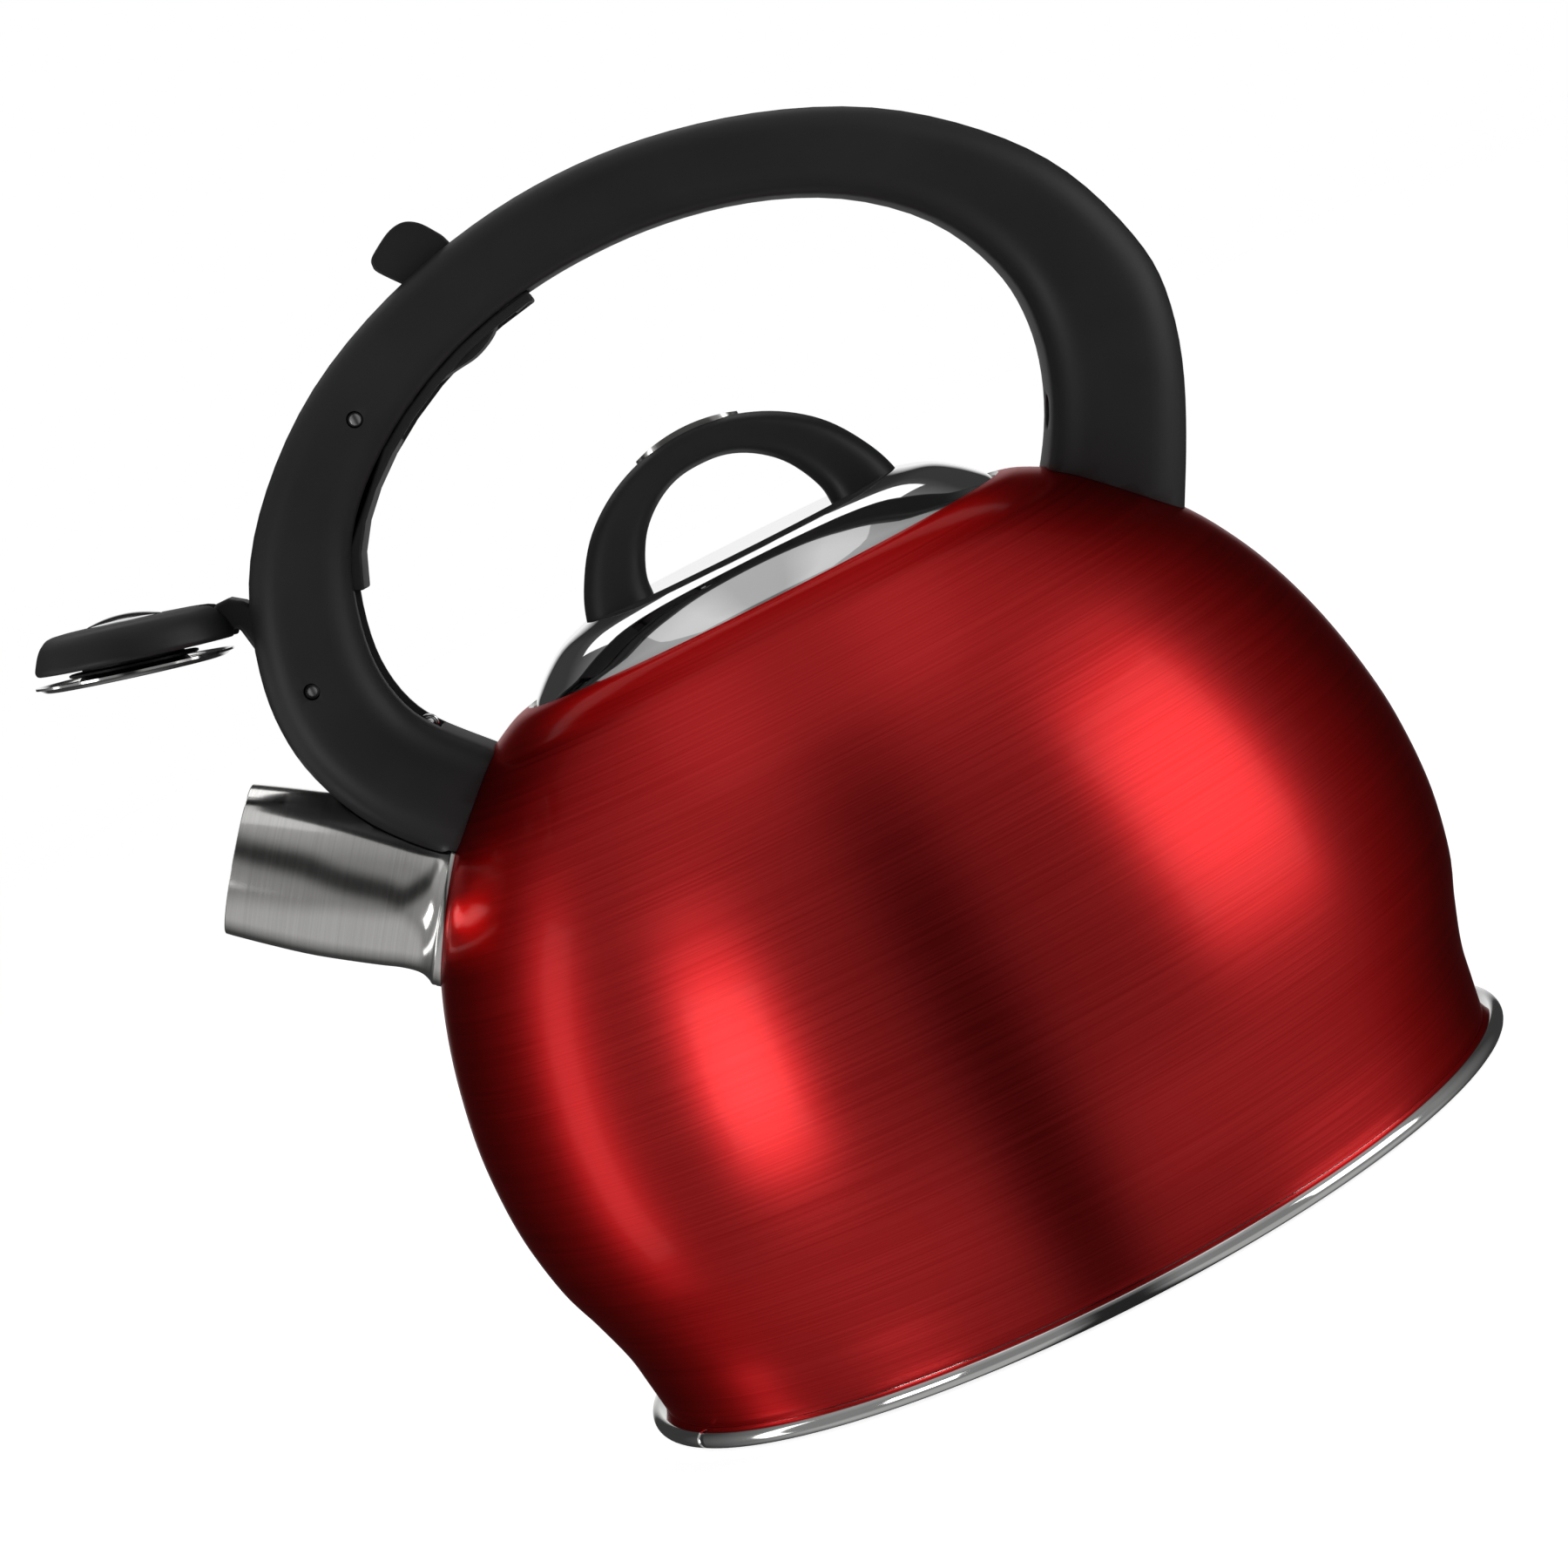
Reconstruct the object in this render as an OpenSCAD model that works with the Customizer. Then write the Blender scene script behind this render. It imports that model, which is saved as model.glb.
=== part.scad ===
// Stovetop whistling kettle: lacquered steel body, bridge handle with a
// squeeze trigger, and a hinged whistle cap that covers the spout.
// The axis of the body is Z, the spout points to -X, and z = 0 is the hob.

/* [Body] */
// Largest diameter of the body
body_d = 195; // [180:1:215]
// Height of the shoulder where the body meets the lid
body_h = 135.8; // [132:0.2:140]
// Thickness of the sheet steel
sheet_t = 0.8; // [0.6:0.1:1.2]

/* [Base] */
// Radius of the rolled bead at the foot
bead_r = 1.7; // [1.2:0.1:2.2]
// Radius of the circle that the bead runs along
bead_ring_r = 89.2; // [88:0.1:92]
// Radius of the heat-spreading disc
capsule_r = 78; // [70:1:82]
// Thickness of the heat-spreading disc
capsule_t = 4; // [3:0.5:5]

/* [Lid] */
// Radius of the lid at its edge
lid_r = 48.9; // [47:0.1:49]
// Radius of the flat top of the lid
lid_flat_r = 33.6; // [31:0.2:36]
// Height of the flat top
lid_top_z = 145.3; // [144:0.1:147]
// Width of the lid handle at its feet
lid_handle_w = 19; // [15:0.5:22]

/* [Spout] */
// Slope of the spout above the horizontal
spout_angle = 37; // [33:0.5:40]
// Outer radius at the mouth
mouth_r = 14.6; // [13:0.1:16]
// Distance of the mouth from the body axis
mouth_x = 112.75; // [110:0.25:116]
// Height of the centre of the mouth
mouth_z = 134.7; // [132:0.1:137]

/* [Handle] */
// Width of the handle at the top of the arch
handle_w_top = 27; // [24:0.5:32]
// Width of the handle at its feet
handle_w_foot = 34; // [30:0.5:38]
// Thickness of the outer wall over the linkage channel
channel_wall = 3; // [2.5:0.1:3.5]
// Width of the linkage channel
channel_w = 13.2; // [12.8:0.1:14]

/* [Linkage] */
// Radius of the two pivot pins
pivot_r = 1.5; // [1.3:0.1:1.8]
// Radial running clearance of the levers on their pins
pivot_gap = 0.06; // [0.03:0.01:0.09]
// Distance from the cap pivot to its crank pin
crank_arm = 5; // [4.6:0.1:5.4]
// Angle that the cap turns through to close on the spout
cap_travel = 67.5; // [60:0.5:68]

/* [Whistle cap] */
// Radius of the dished whistle disc
disc_r = 19.2; // [18:0.1:20]
// Radius of the black cover
cover_r = 19.8; // [19:0.1:20.5]
// Tilt of the open cap
cap_tilt = 14.5; // [12:0.5:17]

/* [Hidden] */
round_fn = 96;
small_fn = 32;
seam = 0.05;        // parts of one body stop this far apart where they only touch
over = 1;           // how far a cutter runs past the face that it cuts

lacquer = [0.62, 0.03, 0.05];
steel = [0.78, 0.78, 0.79];
black = [0.07, 0.07, 0.08];
aluminium = [0.70, 0.71, 0.72];

// ---- curves

function catmull(a, b, c, d, t) =
    0.5 * (2 * b + (c - a) * t + (2 * a - 5 * b + 4 * c - d) * t * t + (3 * b - a - 3 * c + d) * t * t * t);
// Smooth path through the points, with n steps between each two
function spline(p, n) = concat(
    [for (i = [0 : len(p) - 2]) for (j = [0 : n - 1])
        catmull(p[max(i - 1, 0)], p[i], p[i + 1], p[min(i + 2, len(p) - 1)], j / n)],
    [p[len(p) - 1]]);
// Unit normal on the right-hand side of a path
function side(p, i) =
    let (d = p[min(i + 1, len(p) - 1)] - p[max(i - 1, 0)]) [d[1], -d[0]] / norm(d);
// The path moved sideways, to its right when t is positive
function beside(p, t) = [for (i = [0 : len(p) - 1]) p[i] + t * side(p, i)];
function backwards(p) = [for (i = [len(p) - 1 : -1 : 0]) p[i]];
// A band of half width w along a path
function strip(p, w) = concat(beside(p, w), backwards(beside(p, -w)));
function mirrored(p) = [for (q = p) [-q[0], q[1]]];
function from_to(p, a, b) = [for (i = [a : b]) p[i]];

// Draws a shape of the XZ plane as a slab that runs from y0 to y1
module slab(y0, y1) {
    translate([0, y1, 0]) rotate([90, 0, 0]) linear_extrude(y1 - y0) children();
}
// Cylinder along Y through the point p of the XZ plane
module cross_pin(p, r, y0, y1) {
    translate([p[0], y1, p[1]]) rotate([90, 0, 0]) cylinder(r = r, h = y1 - y0, $fn = small_fn);
}
// Rounds a section from a circle (n = 2) towards a square (larger n)
function lobe(a, n) = sign(a) * pow(abs(a), 2 / n);
// Solid swept between an outer and an inner path, w[i] wide and n[i] square
module arch(outer, inner, w, n, sides) {
    count = len(outer);
    points = [for (i = [0 : count - 1]) for (k = [0 : sides - 1])
        let (mid = (outer[i] + inner[i]) / 2, half = (outer[i] - inner[i]) / 2,
             u = lobe(cos(360 * k / sides), n[i]) * w[i] / 2, v = lobe(sin(360 * k / sides), n[i]))
        [mid[0] + half[0] * v, u, mid[1] + half[1] * v]];
    walls = [for (i = [0 : count - 2]) for (k = [0 : sides - 1])
        let (a = i * sides + k, b = i * sides + (k + 1) % sides)
        each [[a, a + sides, b], [b, a + sides, b + sides]]];
    ends = [[for (k = [0 : sides - 1]) k], [for (k = [sides - 1 : -1 : 0]) (count - 1) * sides + k]];
    polyhedron(points = points, faces = concat(walls, ends), convexity = 6);
}

// ---- body and base

// Profile of the body from the foot to the shoulder, as shares of radius and height
body_shape = [[0.898, 0.026], [0.907, 0.074], [0.9185, 0.125], [0.9466, 0.19], [0.9757, 0.25],
    [0.9966, 0.335], [1, 0.42], [0.9908, 0.5], [0.963, 0.6], [0.923, 0.69], [0.871, 0.77],
    [0.799, 0.847], [0.677, 0.9375], [0.615, 0.969], [0.554, 0.992], [0.514, 1]];
body_side = spline([for (q = body_shape) [q[0] * body_d / 2, q[1] * body_h]], 3);
body_inside = beside(body_side, -sheet_t);
neck_r = lid_r + 0.45;
ledge_z = body_h - 1.85;
ledge_r = 44.8;
lip_z = ledge_z - 4.4;
neck_edge = [[neck_r, body_h - 0.5], [neck_r, ledge_z], [ledge_r - sheet_t, ledge_z],
    [ledge_r - sheet_t, lip_z], [ledge_r, lip_z], [ledge_r, ledge_z - sheet_t],
    [neck_r + sheet_t, ledge_z - sheet_t]];
floor_z = 6.4;
bead_z = bead_r + 0.3;
capsule_sheet = 0.6;

spout_dir = [-cos(spout_angle), sin(spout_angle)];
mouth = [-mouth_x, mouth_z];
// Outside of the spout: distance from the mouth, then radius
spout_shape = [[0, 0], [9, 0.7], [18, 1.1], [29, 0.8], [37, 0.3]];
spout_side = spline([for (q = spout_shape) [mouth_r + q[1], q[0]]], 3);
spout_end = 48;
collar_r = mouth_r + 2.8;
collar_t = 0.9;
spout_wall = 0.8;

// Puts +Z along the spout, looking inwards from the mouth
module spout_frame() {
    translate([mouth[0], 0, mouth[1]]) rotate([0, 90 + spout_angle, 0]) children();
}
// Everything inside the outer face of the body, grown by gap
module body_volume(gap = 0) {
    edge = beside(body_side, gap);
    top = edge[len(edge) - 1];
    rotate_extrude($fn = round_fn) polygon(concat([[0, edge[0][1]]], edge, [[0, top[1]]]));
}
// The shoulder only: a lighter cutter for the parts that stand on it
shoulder_first = 24;
module shoulder_volume(gap = 0) {
    edge = from_to(beside(body_side, gap), shoulder_first, len(body_side) - 1);
    top = edge[len(edge) - 1];
    rotate_extrude($fn = round_fn) polygon(concat([[0, edge[0][1]]], edge, [[0, top[1]]]));
}
// Outside of the spout, grown by gap, past the body wall
module spout_volume(gap = 0) {
    edge = beside(spout_side, gap);
    low = edge[len(edge) - 1];
    spout_frame() rotate_extrude($fn = round_fn)
        polygon(concat([[0, 0]], edge, [[low[0], spout_end], [0, spout_end]]));
}

module body_shell() color(lacquer) {
    difference() {
        rotate_extrude($fn = round_fn) polygon(concat(body_side, neck_edge, backwards(body_inside)));
        spout_frame() translate([0, 0, 25]) cylinder(r = mouth_r - spout_wall, h = 40, $fn = round_fn);
    }
}

module base_pan() color(steel) {
    wall_r = body_side[0][0] - sheet_t - seam;
    rotate_extrude($fn = round_fn) {
        difference() {
            translate([bead_ring_r, bead_z]) circle(r = bead_r, $fn = small_fn);
            translate([wall_r, body_side[0][1] - seam]) square([sheet_t + 2 * seam + 0.6, 6]);
        }
        polygon([[0, floor_z], [0, floor_z - sheet_t], [wall_r - 4, floor_z - sheet_t],
            [wall_r - sheet_t, bead_z - 0.4], [bead_ring_r, bead_z - 0.4], [bead_ring_r, bead_z],
            [wall_r, bead_z + 0.4], [wall_r, floor_z + 3], [wall_r - sheet_t, floor_z + 3],
            [wall_r - sheet_t, floor_z]]);
    }
}

module heat_disc() color(aluminium) {
    translate([0, 0, floor_z - sheet_t - seam - capsule_t])
        cylinder(r = capsule_r - 1, h = capsule_t, $fn = round_fn);
}

module base_capsule() color(steel) {
    top = floor_z - sheet_t - seam;
    bottom = top - capsule_t - seam;
    rotate_extrude($fn = round_fn)
        polygon([[0, 0], [capsule_r - 2, 0], [capsule_r, 1.6], [capsule_r, top], [capsule_r - 1 + seam, top],
            [capsule_r - 1 + seam, bottom], [0, bottom]]);
}

module spout_tube() color(steel) {
    inside = beside(spout_side, -spout_wall);
    low = spout_side[len(spout_side) - 1];
    difference() {
        spout_frame() rotate_extrude($fn = round_fn)
            polygon(concat(spout_side, [[low[0], spout_end], [low[0] - spout_wall, spout_end]],
                backwards(inside)));
        body_volume(seam);
    }
    difference() {
        intersection() {
            spout_frame() translate([0, 0, 30]) cylinder(r = collar_r, h = 18, $fn = round_fn);
            body_volume(collar_t);
        }
        body_volume(seam);
        spout_frame() translate([0, 0, 25]) cylinder(r = low[0] - 0.4, h = 30, $fn = round_fn);
    }
}

// ---- handle

// Outer and inner outline of the handle, in pairs from the front foot to the rear foot
handle_pairs = [
    [[-66, 107], [-50, 121]], [[-77, 118.5], [-58, 131]], [[-86.4, 129.4], [-64.6, 138.2]],
    [[-92.1, 142.3], [-69.6, 145]], [[-93.6, 153], [-71.8, 154]], [[-92.3, 164.5], [-70.9, 164]],
    [[-86.5, 180.8], [-66.5, 177]], [[-75.5, 194.8], [-58, 187.2]], [[-59, 207.9], [-45.5, 196]],
    [[-38.5, 216.9], [-30.5, 202.6]], [[-18, 221.8], [-14.5, 206.2]], [[0, 223.2], [0, 207.1]],
    [[18, 221.8], [14.5, 206.2]], [[38.5, 216.9], [30.5, 202.7]], [[59, 207.9], [47, 195.5]],
    [[75.5, 194.8], [60.5, 183.8]], [[86.5, 180.8], [67.2, 170.5]], [[92.5, 164], [68.5, 160.5]],
    [[93.4, 153], [67.2, 151]], [[90.4, 139.5], [63.4, 140.9]], [[84.5, 126], [57.5, 131.5]],
    [[79.2, 115.9], [50, 122]], [[74, 106], [44, 112]]];
handle_steps = 2;
handle_outer = spline([for (q = handle_pairs) q[0]], handle_steps);
handle_inner = spline([for (q = handle_pairs) q[1]], handle_steps);
handle_count = len(handle_outer);
// 0 at the feet and 1 at the top of the arch
function rise(i) = pow(sin(180 * i / (handle_count - 1)), 1.5);
handle_w = [for (i = [0 : handle_count - 1]) handle_w_foot + (handle_w_top - handle_w_foot) * rise(i)];
handle_square = [for (i = [0 : handle_count - 1]) 4.2 - 1.5 * rise(i)];

cap_pivot = [-84.2, 157.2];
trigger_pivot = [-53.95, 198.9];
spring_anchor = [-68.8, 141.3];
channel_half = channel_w / 2;

// Where the channel starts above the front foot and stops near the top of the arch
channel_outer = from_to(beside(handle_outer, channel_wall), 7, 19);
channel_inner = from_to(beside(handle_inner, 4), 6, 19);
module channel_shape() {
    polygon(concat([[-86, 138.2]], channel_outer, [[-16.4, 217.5], [-16.4, 203]], backwards(channel_inner),
        [[-66.4, 138.2]]));
}
cover_t = 2;
cover_first = 11;
cover_last = 20;
// The inner cover lies along the inner outline and closes the channel
module cover_shape(gap) {
    path = from_to(handle_inner, cover_first, cover_last);
    polygon(concat(beside(path, -0.1 + gap), backwards(beside(path, -cover_t - gap))));
}
cover_half = channel_half + 1.6;
finger_slot = [[-48.5, 188], [-18.2, 196], [-18.2, 212], [-48.5, 203]];
thumb_slot = [[-36, 210], [-18.6, 210], [-18.6, 230], [-40.5, 230]];
arm_slot = [[-100, 151.5], [-84, 151.5], [-84, 180], [-100, 180]];

// The screw of each foot: head position, direction it is driven, and lengths
front_screw = [[-74.2, 138.2], [0.52, -0.854]];
rear_screw = [[68.6, 139.8], [0.94, -0.342]];
screw_r = 1.5;
screw_head_r = 3;
screw_len = 11;
// Puts +Z against the driving direction, with z = 0 under the head
module screw_frame(s) {
    translate([s[0][0], 0, s[0][1]]) rotate([0, atan2(-s[1][0], -s[1][1]), 0]) children();
}

module handle_shell() color(black) {
    difference() {
        arch(handle_outer, handle_inner, handle_w, handle_square, 20);
        shoulder_volume(seam);
        slab(-channel_half, channel_half) channel_shape();
        slab(-cover_half, cover_half) cover_shape(0.1);
        slab(-5.4, 5.4) polygon(arm_slot);
        slab(-channel_half, channel_half) polygon(thumb_slot);
        spout_volume(0.3);
        intersection() {
            spout_frame() translate([0, 0, 30]) cylinder(r = collar_r + 0.3, h = 18, $fn = round_fn);
            body_volume(collar_t + 0.3);
        }
        cross_pin(cap_pivot, pivot_r, -30, 30);
        cross_pin(trigger_pivot, pivot_r, -30, 30);
        cross_pin(spring_anchor, 1, -9, 9);
        for (s = [front_screw, rear_screw]) {
            bracket_block(s, 0.1);
            bracket_strap(s, 0.1);
            screw_frame(s) translate([0, 0, -block_start - over])
                cylinder(r = screw_r + 0.2, h = block_start + 2 * over, $fn = small_fn);
            screw_frame(s) cylinder(r = screw_head_r + 0.4, h = 14, $fn = small_fn);
        }
    }
}

module handle_inner_cover() color(black) {
    difference() {
        slab(0.1 - cover_half, cover_half - 0.1) cover_shape(0);
        slab(-channel_half, channel_half) polygon(finger_slot);
    }
}

// Welded steel foot: a strap on the shoulder and a tapped block in the handle leg
block_half = 4;
block_start = 4.6;
block_len = 7;
module bracket_block(s, gap) {
    screw_frame(s) translate([-block_half - gap, -block_half - 1 - gap, -block_start - block_len - 4])
        cube([2 * (block_half + gap), 2 * (block_half + 1 + gap), block_len + 4 + gap]);
}
strap_t = 1.2;
module bracket_strap(s, gap) {
    out = sign(s[0][0]);
    intersection() {
        translate([out * 64.2 - 3.4 - gap, -9 - gap, 110]) cube([6.8 + 2 * gap, 18 + 2 * gap, 24]);
        shoulder_volume(strap_t + gap);
    }
}
module bracket(s) color(steel) {
    difference() {
        union() {
            bracket_block(s, 0);
            bracket_strap(s, 0);
        }
        shoulder_volume(seam);
        screw_frame(s) translate([0, 0, -screw_len - 1]) cylinder(r = screw_r, h = 20, $fn = small_fn);
        spout_frame() translate([0, 0, 28]) cylinder(r = collar_r + 2 * seam, h = 22, $fn = round_fn);
    }
}
module front_bracket() bracket(front_screw);
module rear_bracket() bracket(rear_screw);

module screw(s) {
    screw_frame(s) {
        translate([0, 0, -screw_len]) cylinder(r = screw_r, h = screw_len, $fn = small_fn);
        difference() {
            cylinder(r = screw_head_r, h = 1.8, $fn = small_fn);
            for (turn = [0, 90])
                rotate([0, 0, turn]) translate([-1.8, -0.35, 0.9]) cube([3.6, 0.7, 2]);
        }
    }
}
module handle_screws() color(steel) {
    screw(front_screw);
    screw(rear_screw);
}

module cap_pivot_pin() color(steel) cross_pin(cap_pivot, pivot_r, -14.6, 14.6);
module trigger_pin() color(steel) cross_pin(trigger_pivot, pivot_r, -12.8, 12.8);
module spring_post() color(steel) cross_pin(spring_anchor, 1, -9, 9);

// ---- trigger lever

// The crank pin swings evenly to both sides of the line between the two pivots
pivot_line = trigger_pivot - cap_pivot;
crank_open = atan2(pivot_line[1], pivot_line[0]) - cap_travel / 2;
crank = cap_pivot + crank_arm * [cos(crank_open), sin(crank_open)];
crank_r = 1.2;
tail_y0 = 1;
tail_y1 = 4.2;
tail_path = spline([trigger_pivot, [-64, 191.8], [-72, 181.8], [-77, 170.5], crank], 5);
lever_half = 6;
lever_head = [[-57.5, 197], [-51.5, 195.6], [-47, 198.6], [-44.6, 197.4], [-33.6, 199], [-28.9, 199.6], [-24.7, 201.4],
    [-22.1, 203.7], [-20.9, 205.4], [-21.4, 212], [-23.2, 221], [-26.5, 226.1], [-28.6, 227.8],
    [-30.7, 228.2], [-33.2, 227.6], [-37.5, 224.9], [-38.4, 223.5], [-38.2, 221.8], [-34.8, 217.6],
    [-34.6, 213.2], [-46, 208.6], [-56.6, 203]];

module trigger_lever() color(black) {
    slot_dir = crank - trigger_pivot;
    difference() {
        union() {
            slab(-lever_half, lever_half) polygon(lever_head);
            slab(tail_y0, tail_y1) {
                polygon(strip(tail_path, 2.5));
                translate(crank) circle(r = 2.8, $fn = small_fn);
            }
            cross_pin(trigger_pivot, 4.2, -lever_half, lever_half);
        }
        cross_pin(trigger_pivot, pivot_r + pivot_gap, -20, 20);
        slab(tail_y0 - over, tail_y1 + over) translate(crank)
            rotate(atan2(slot_dir[1], slot_dir[0])) {
                translate([-1, 0]) circle(r = crank_r + 0.3, $fn = small_fn);
                translate([-1, -crank_r - 0.3]) square([8, 2 * (crank_r + 0.3)]);
            }
    }
}

// ---- whistle cap, drawn open

disc_centre = [-113.65, 176.2];
// Cap coordinates: X along the disc towards the handle, Z away from the spout side
module cap_frame() {
    translate([disc_centre[0], 0, disc_centre[1]]) rotate([0, cap_tilt, 0]) children();
}
// A point of the cap frame in the XZ plane of the kettle
function cap_point(q) = disc_centre + [cos(cap_tilt) * q[0] + sin(cap_tilt) * q[1],
    -sin(cap_tilt) * q[0] + cos(cap_tilt) * q[1]];
cover_shift = 1.2;
cover_z0 = 2;
cover_z1 = 9.2;
cover_wall = 1.6;
pad_z0 = 3.2;
pad_z1 = 5.2;
arm_half = 4.4;
arm_outline = [[2, pad_z0], [21.4, pad_z0], [23.4, -1.3], [28.6, -9.5], [36.6, -7.5], [31.5, 0.5],
    [24.6, 7], [23.3, 8.1], [20.6, 9.2], [18.2, 8.6], [15, pad_z1], [2, pad_z1]];
spring_hook = [cap_pivot[0], cap_pivot[1] - 9.2];
arm_plate_y1 = 0.5;

module cap_arm() color(black) {
    difference() {
        union() {
            difference() {
                slab(-arm_half, arm_half) polygon([for (q = arm_outline) cap_point(q)]);
                cross_pin(cap_pivot, 10, arm_plate_y1, arm_half + over);
            }
            cap_frame() translate([0, 0, pad_z0]) cylinder(r = 9, h = pad_z1 - pad_z0, $fn = small_fn);
            cross_pin(cap_pivot, 4.4, -5.6, arm_plate_y1);
            slab(-arm_half, arm_plate_y1) {
                translate(spring_hook) circle(r = 2.4, $fn = small_fn);
                translate(spring_hook - [2.4, 0]) square([4.8, 8]);
                translate(crank) circle(r = 2.6, $fn = small_fn);
            }
            cross_pin(spring_hook, 1, -arm_half, 5);
        }
        cross_pin(cap_pivot, pivot_r + pivot_gap, -20, 20);
        cross_pin(crank, crank_r, -arm_half - over, arm_plate_y1 + over);
        rivet_places() translate([0, 0, pad_z0 - over]) cylinder(r = rivet_r, h = 5, $fn = small_fn);
    }
}
module crank_pin() color(steel) cross_pin(crank, crank_r, -arm_half, 4.9);

module whistle_cover() color(black) {
    flat_r = cover_r - 4.2;
    difference() {
        cap_frame() translate([cover_shift, 0, 0]) rotate_extrude($fn = round_fn)
            polygon([[0, cover_z1], [flat_r, cover_z1 - 0.4], [cover_r - 1.6, 6.4], [cover_r - 0.3, 4],
                [cover_r, 2.7], [cover_r - 0.6, cover_z0], [cover_r - cover_wall - 0.4, cover_z0],
                [cover_r - cover_wall - 0.8, 5], [flat_r - 0.8, cover_z1 - 0.4 - cover_wall],
                [0, cover_z1 - cover_wall]]);
        cap_frame() translate([14, -arm_half - 0.1, cover_z0 - over]) cube([12, 2 * arm_half + 0.2, 12]);
        cap_frame() translate([0, 0, cover_z1 - 0.8]) cylinder(r = badge_r + seam, h = 3, $fn = round_fn);
    }
}
badge_r = 7.4;
module cover_badge() color(steel) {
    dome_h = 1.3;
    dome_r = (badge_r * badge_r + dome_h * dome_h) / (2 * dome_h);
    cap_frame() translate([0, 0, cover_z1 - 0.7]) {
        intersection() {
            translate([0, 0, 0.7 + dome_h - dome_r]) sphere(r = dome_r, $fn = round_fn);
            cylinder(r = badge_r, h = 4, $fn = round_fn);
        }
    }
}
rivet_r = 0.9;
module rivet_places() {
    cap_frame() for (y = [-6.5, 6.5]) translate([0, y, 0]) children();
}
module whistle_boss() color(black) {
    difference() {
        cap_frame() rotate_extrude($fn = round_fn)
            polygon([[4, 0.5], [12.5, 0.5], [12.5, 1.2], [9.9, 1.2], [9.9, pad_z0 - seam],
                [5, pad_z0 - seam], [5, 2.3], [4, 2.3]]);
        rivet_places() cylinder(r = rivet_r, h = 6, $fn = small_fn);
    }
}
module whistle_plate() color(steel) {
    cap_frame() translate([0, 0, 2.35]) difference() {
        cylinder(r = 4.95, h = 0.5, $fn = round_fn);
        translate([0, 0, -over]) cylinder(r = 1.5, h = 3, $fn = small_fn);
    }
}
module whistle_disc() color(steel) {
    difference() {
        cap_frame() rotate_extrude($fn = round_fn)
            polygon([[1.5, -0.05], [9.8, -0.05], [11.4, -1.3], [17.4, -1.3], [18.4, -0.5], [disc_r, -0.45],
                [disc_r, 0], [18.2, -0.02], [17.2, -0.8], [11.6, -0.8], [10, 0.45], [1.5, 0.45]]);
        rivet_places() translate([0, 0, -over]) cylinder(r = rivet_r, h = 4, $fn = small_fn);
    }
}
module whistle_rivets() color(steel) {
    rivet_places() {
        translate([0, 0, -0.05]) cylinder(r = rivet_r, h = pad_z1 + 0.05, $fn = small_fn);
        translate([0, 0, -0.65]) cylinder(r = 1.6, h = 0.55, $fn = small_fn);
        translate([0, 0, pad_z1 + seam]) cylinder(r = 1.6, h = 0.6, $fn = small_fn);
    }
}

// Extension spring from the cap arm to the post above the front foot
spring_y = 2.75;
module return_spring() color(steel) {
    run = spring_anchor - spring_hook;
    coil_r = 2;
    wire_r = 0.35;
    loop_r = 2;
    for (p = [spring_hook, spring_anchor])
        translate([p[0], spring_y, p[1]]) rotate([90, 0, 0])
            rotate_extrude($fn = small_fn) translate([loop_r, 0]) circle(r = wire_r, $fn = 16);
    translate([spring_hook[0], spring_y, spring_hook[1]]) rotate([0, 90 - atan2(run[1], run[0]), 0])
        translate([0, 0, loop_r]) difference() {
            cylinder(r = coil_r, h = norm(run) - 2 * loop_r, $fn = small_fn);
            translate([0, 0, -over]) cylinder(r = coil_r - 0.7, h = 40, $fn = small_fn);
        }
}

// ---- lid

lid_edge_z = ledge_z + 0.35;
lid_side = spline([[lid_r, lid_edge_z + 0.5], [47.6, 136.9], [43.6, 140.5], [39.1, 143.4],
    [lid_flat_r, lid_top_z]], 3);
lid_dish_r = 19;
lid_dish_z = lid_top_z - 1;
module lid_dome() color(steel) {
    difference() {
        rotate_extrude($fn = round_fn)
            polygon(concat([[lid_r, lid_edge_z]], lid_side, [[lid_dish_r, lid_dish_z], [0, lid_dish_z],
                [0, lid_dish_z - sheet_t], [lid_dish_r, lid_dish_z - sheet_t],
                [lid_flat_r - 0.4, lid_top_z - sheet_t - 0.2]],
                backwards(beside(from_to(lid_side, 1, len(lid_side) - 2), -sheet_t)),
                [[lid_r - 1.6, lid_edge_z]]));
        lid_screw_places() translate([0, 0, 135]) cylinder(r = lid_screw_r, h = 20, $fn = small_fn);
    }
}
skirt_r = 43.4;
module lid_skirt() color(steel) {
    rotate_extrude($fn = round_fn)
        polygon([[skirt_r, lip_z - 1.5], [skirt_r, lid_edge_z], [lid_r - 1.7, lid_edge_z],
            [lid_r - 1.7, lid_edge_z + 0.6], [skirt_r - 0.8, lid_edge_z + 0.6],
            [skirt_r - 0.8, lip_z - 1.5]]);
}
lid_screw_x = 26;
lid_screw_r = 1.6;
lid_slope_z = lid_dish_z + (lid_screw_x - lid_dish_r) / (lid_flat_r - lid_dish_r) * (lid_top_z - lid_dish_z);
module lid_screw_places() {
    for (x = [-lid_screw_x, lid_screw_x]) translate([x, 0, 0]) children();
}
lid_handle_left = [[[-33.2, 142], [-19.2, 141]], [[-32.9, 145], [-19, 144.4]], [[-30.8, 150.7], [-18.5, 148.6]],
    [[-25.5, 158.8], [-15.2, 155]], [[-18, 164.7], [-10.6, 159.3]], [[-9.1, 168.3], [-5.4, 161.8]]];
lid_handle_top = [[0, 169.5], [0, 162.4]];
lid_handle_pairs = concat(lid_handle_left, [lid_handle_top],
    [for (q = backwards(lid_handle_left)) mirrored(q)]);
lid_handle_outer = spline([for (q = lid_handle_pairs) q[0]], 2);
lid_handle_inner = spline([for (q = lid_handle_pairs) q[1]], 2);
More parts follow.
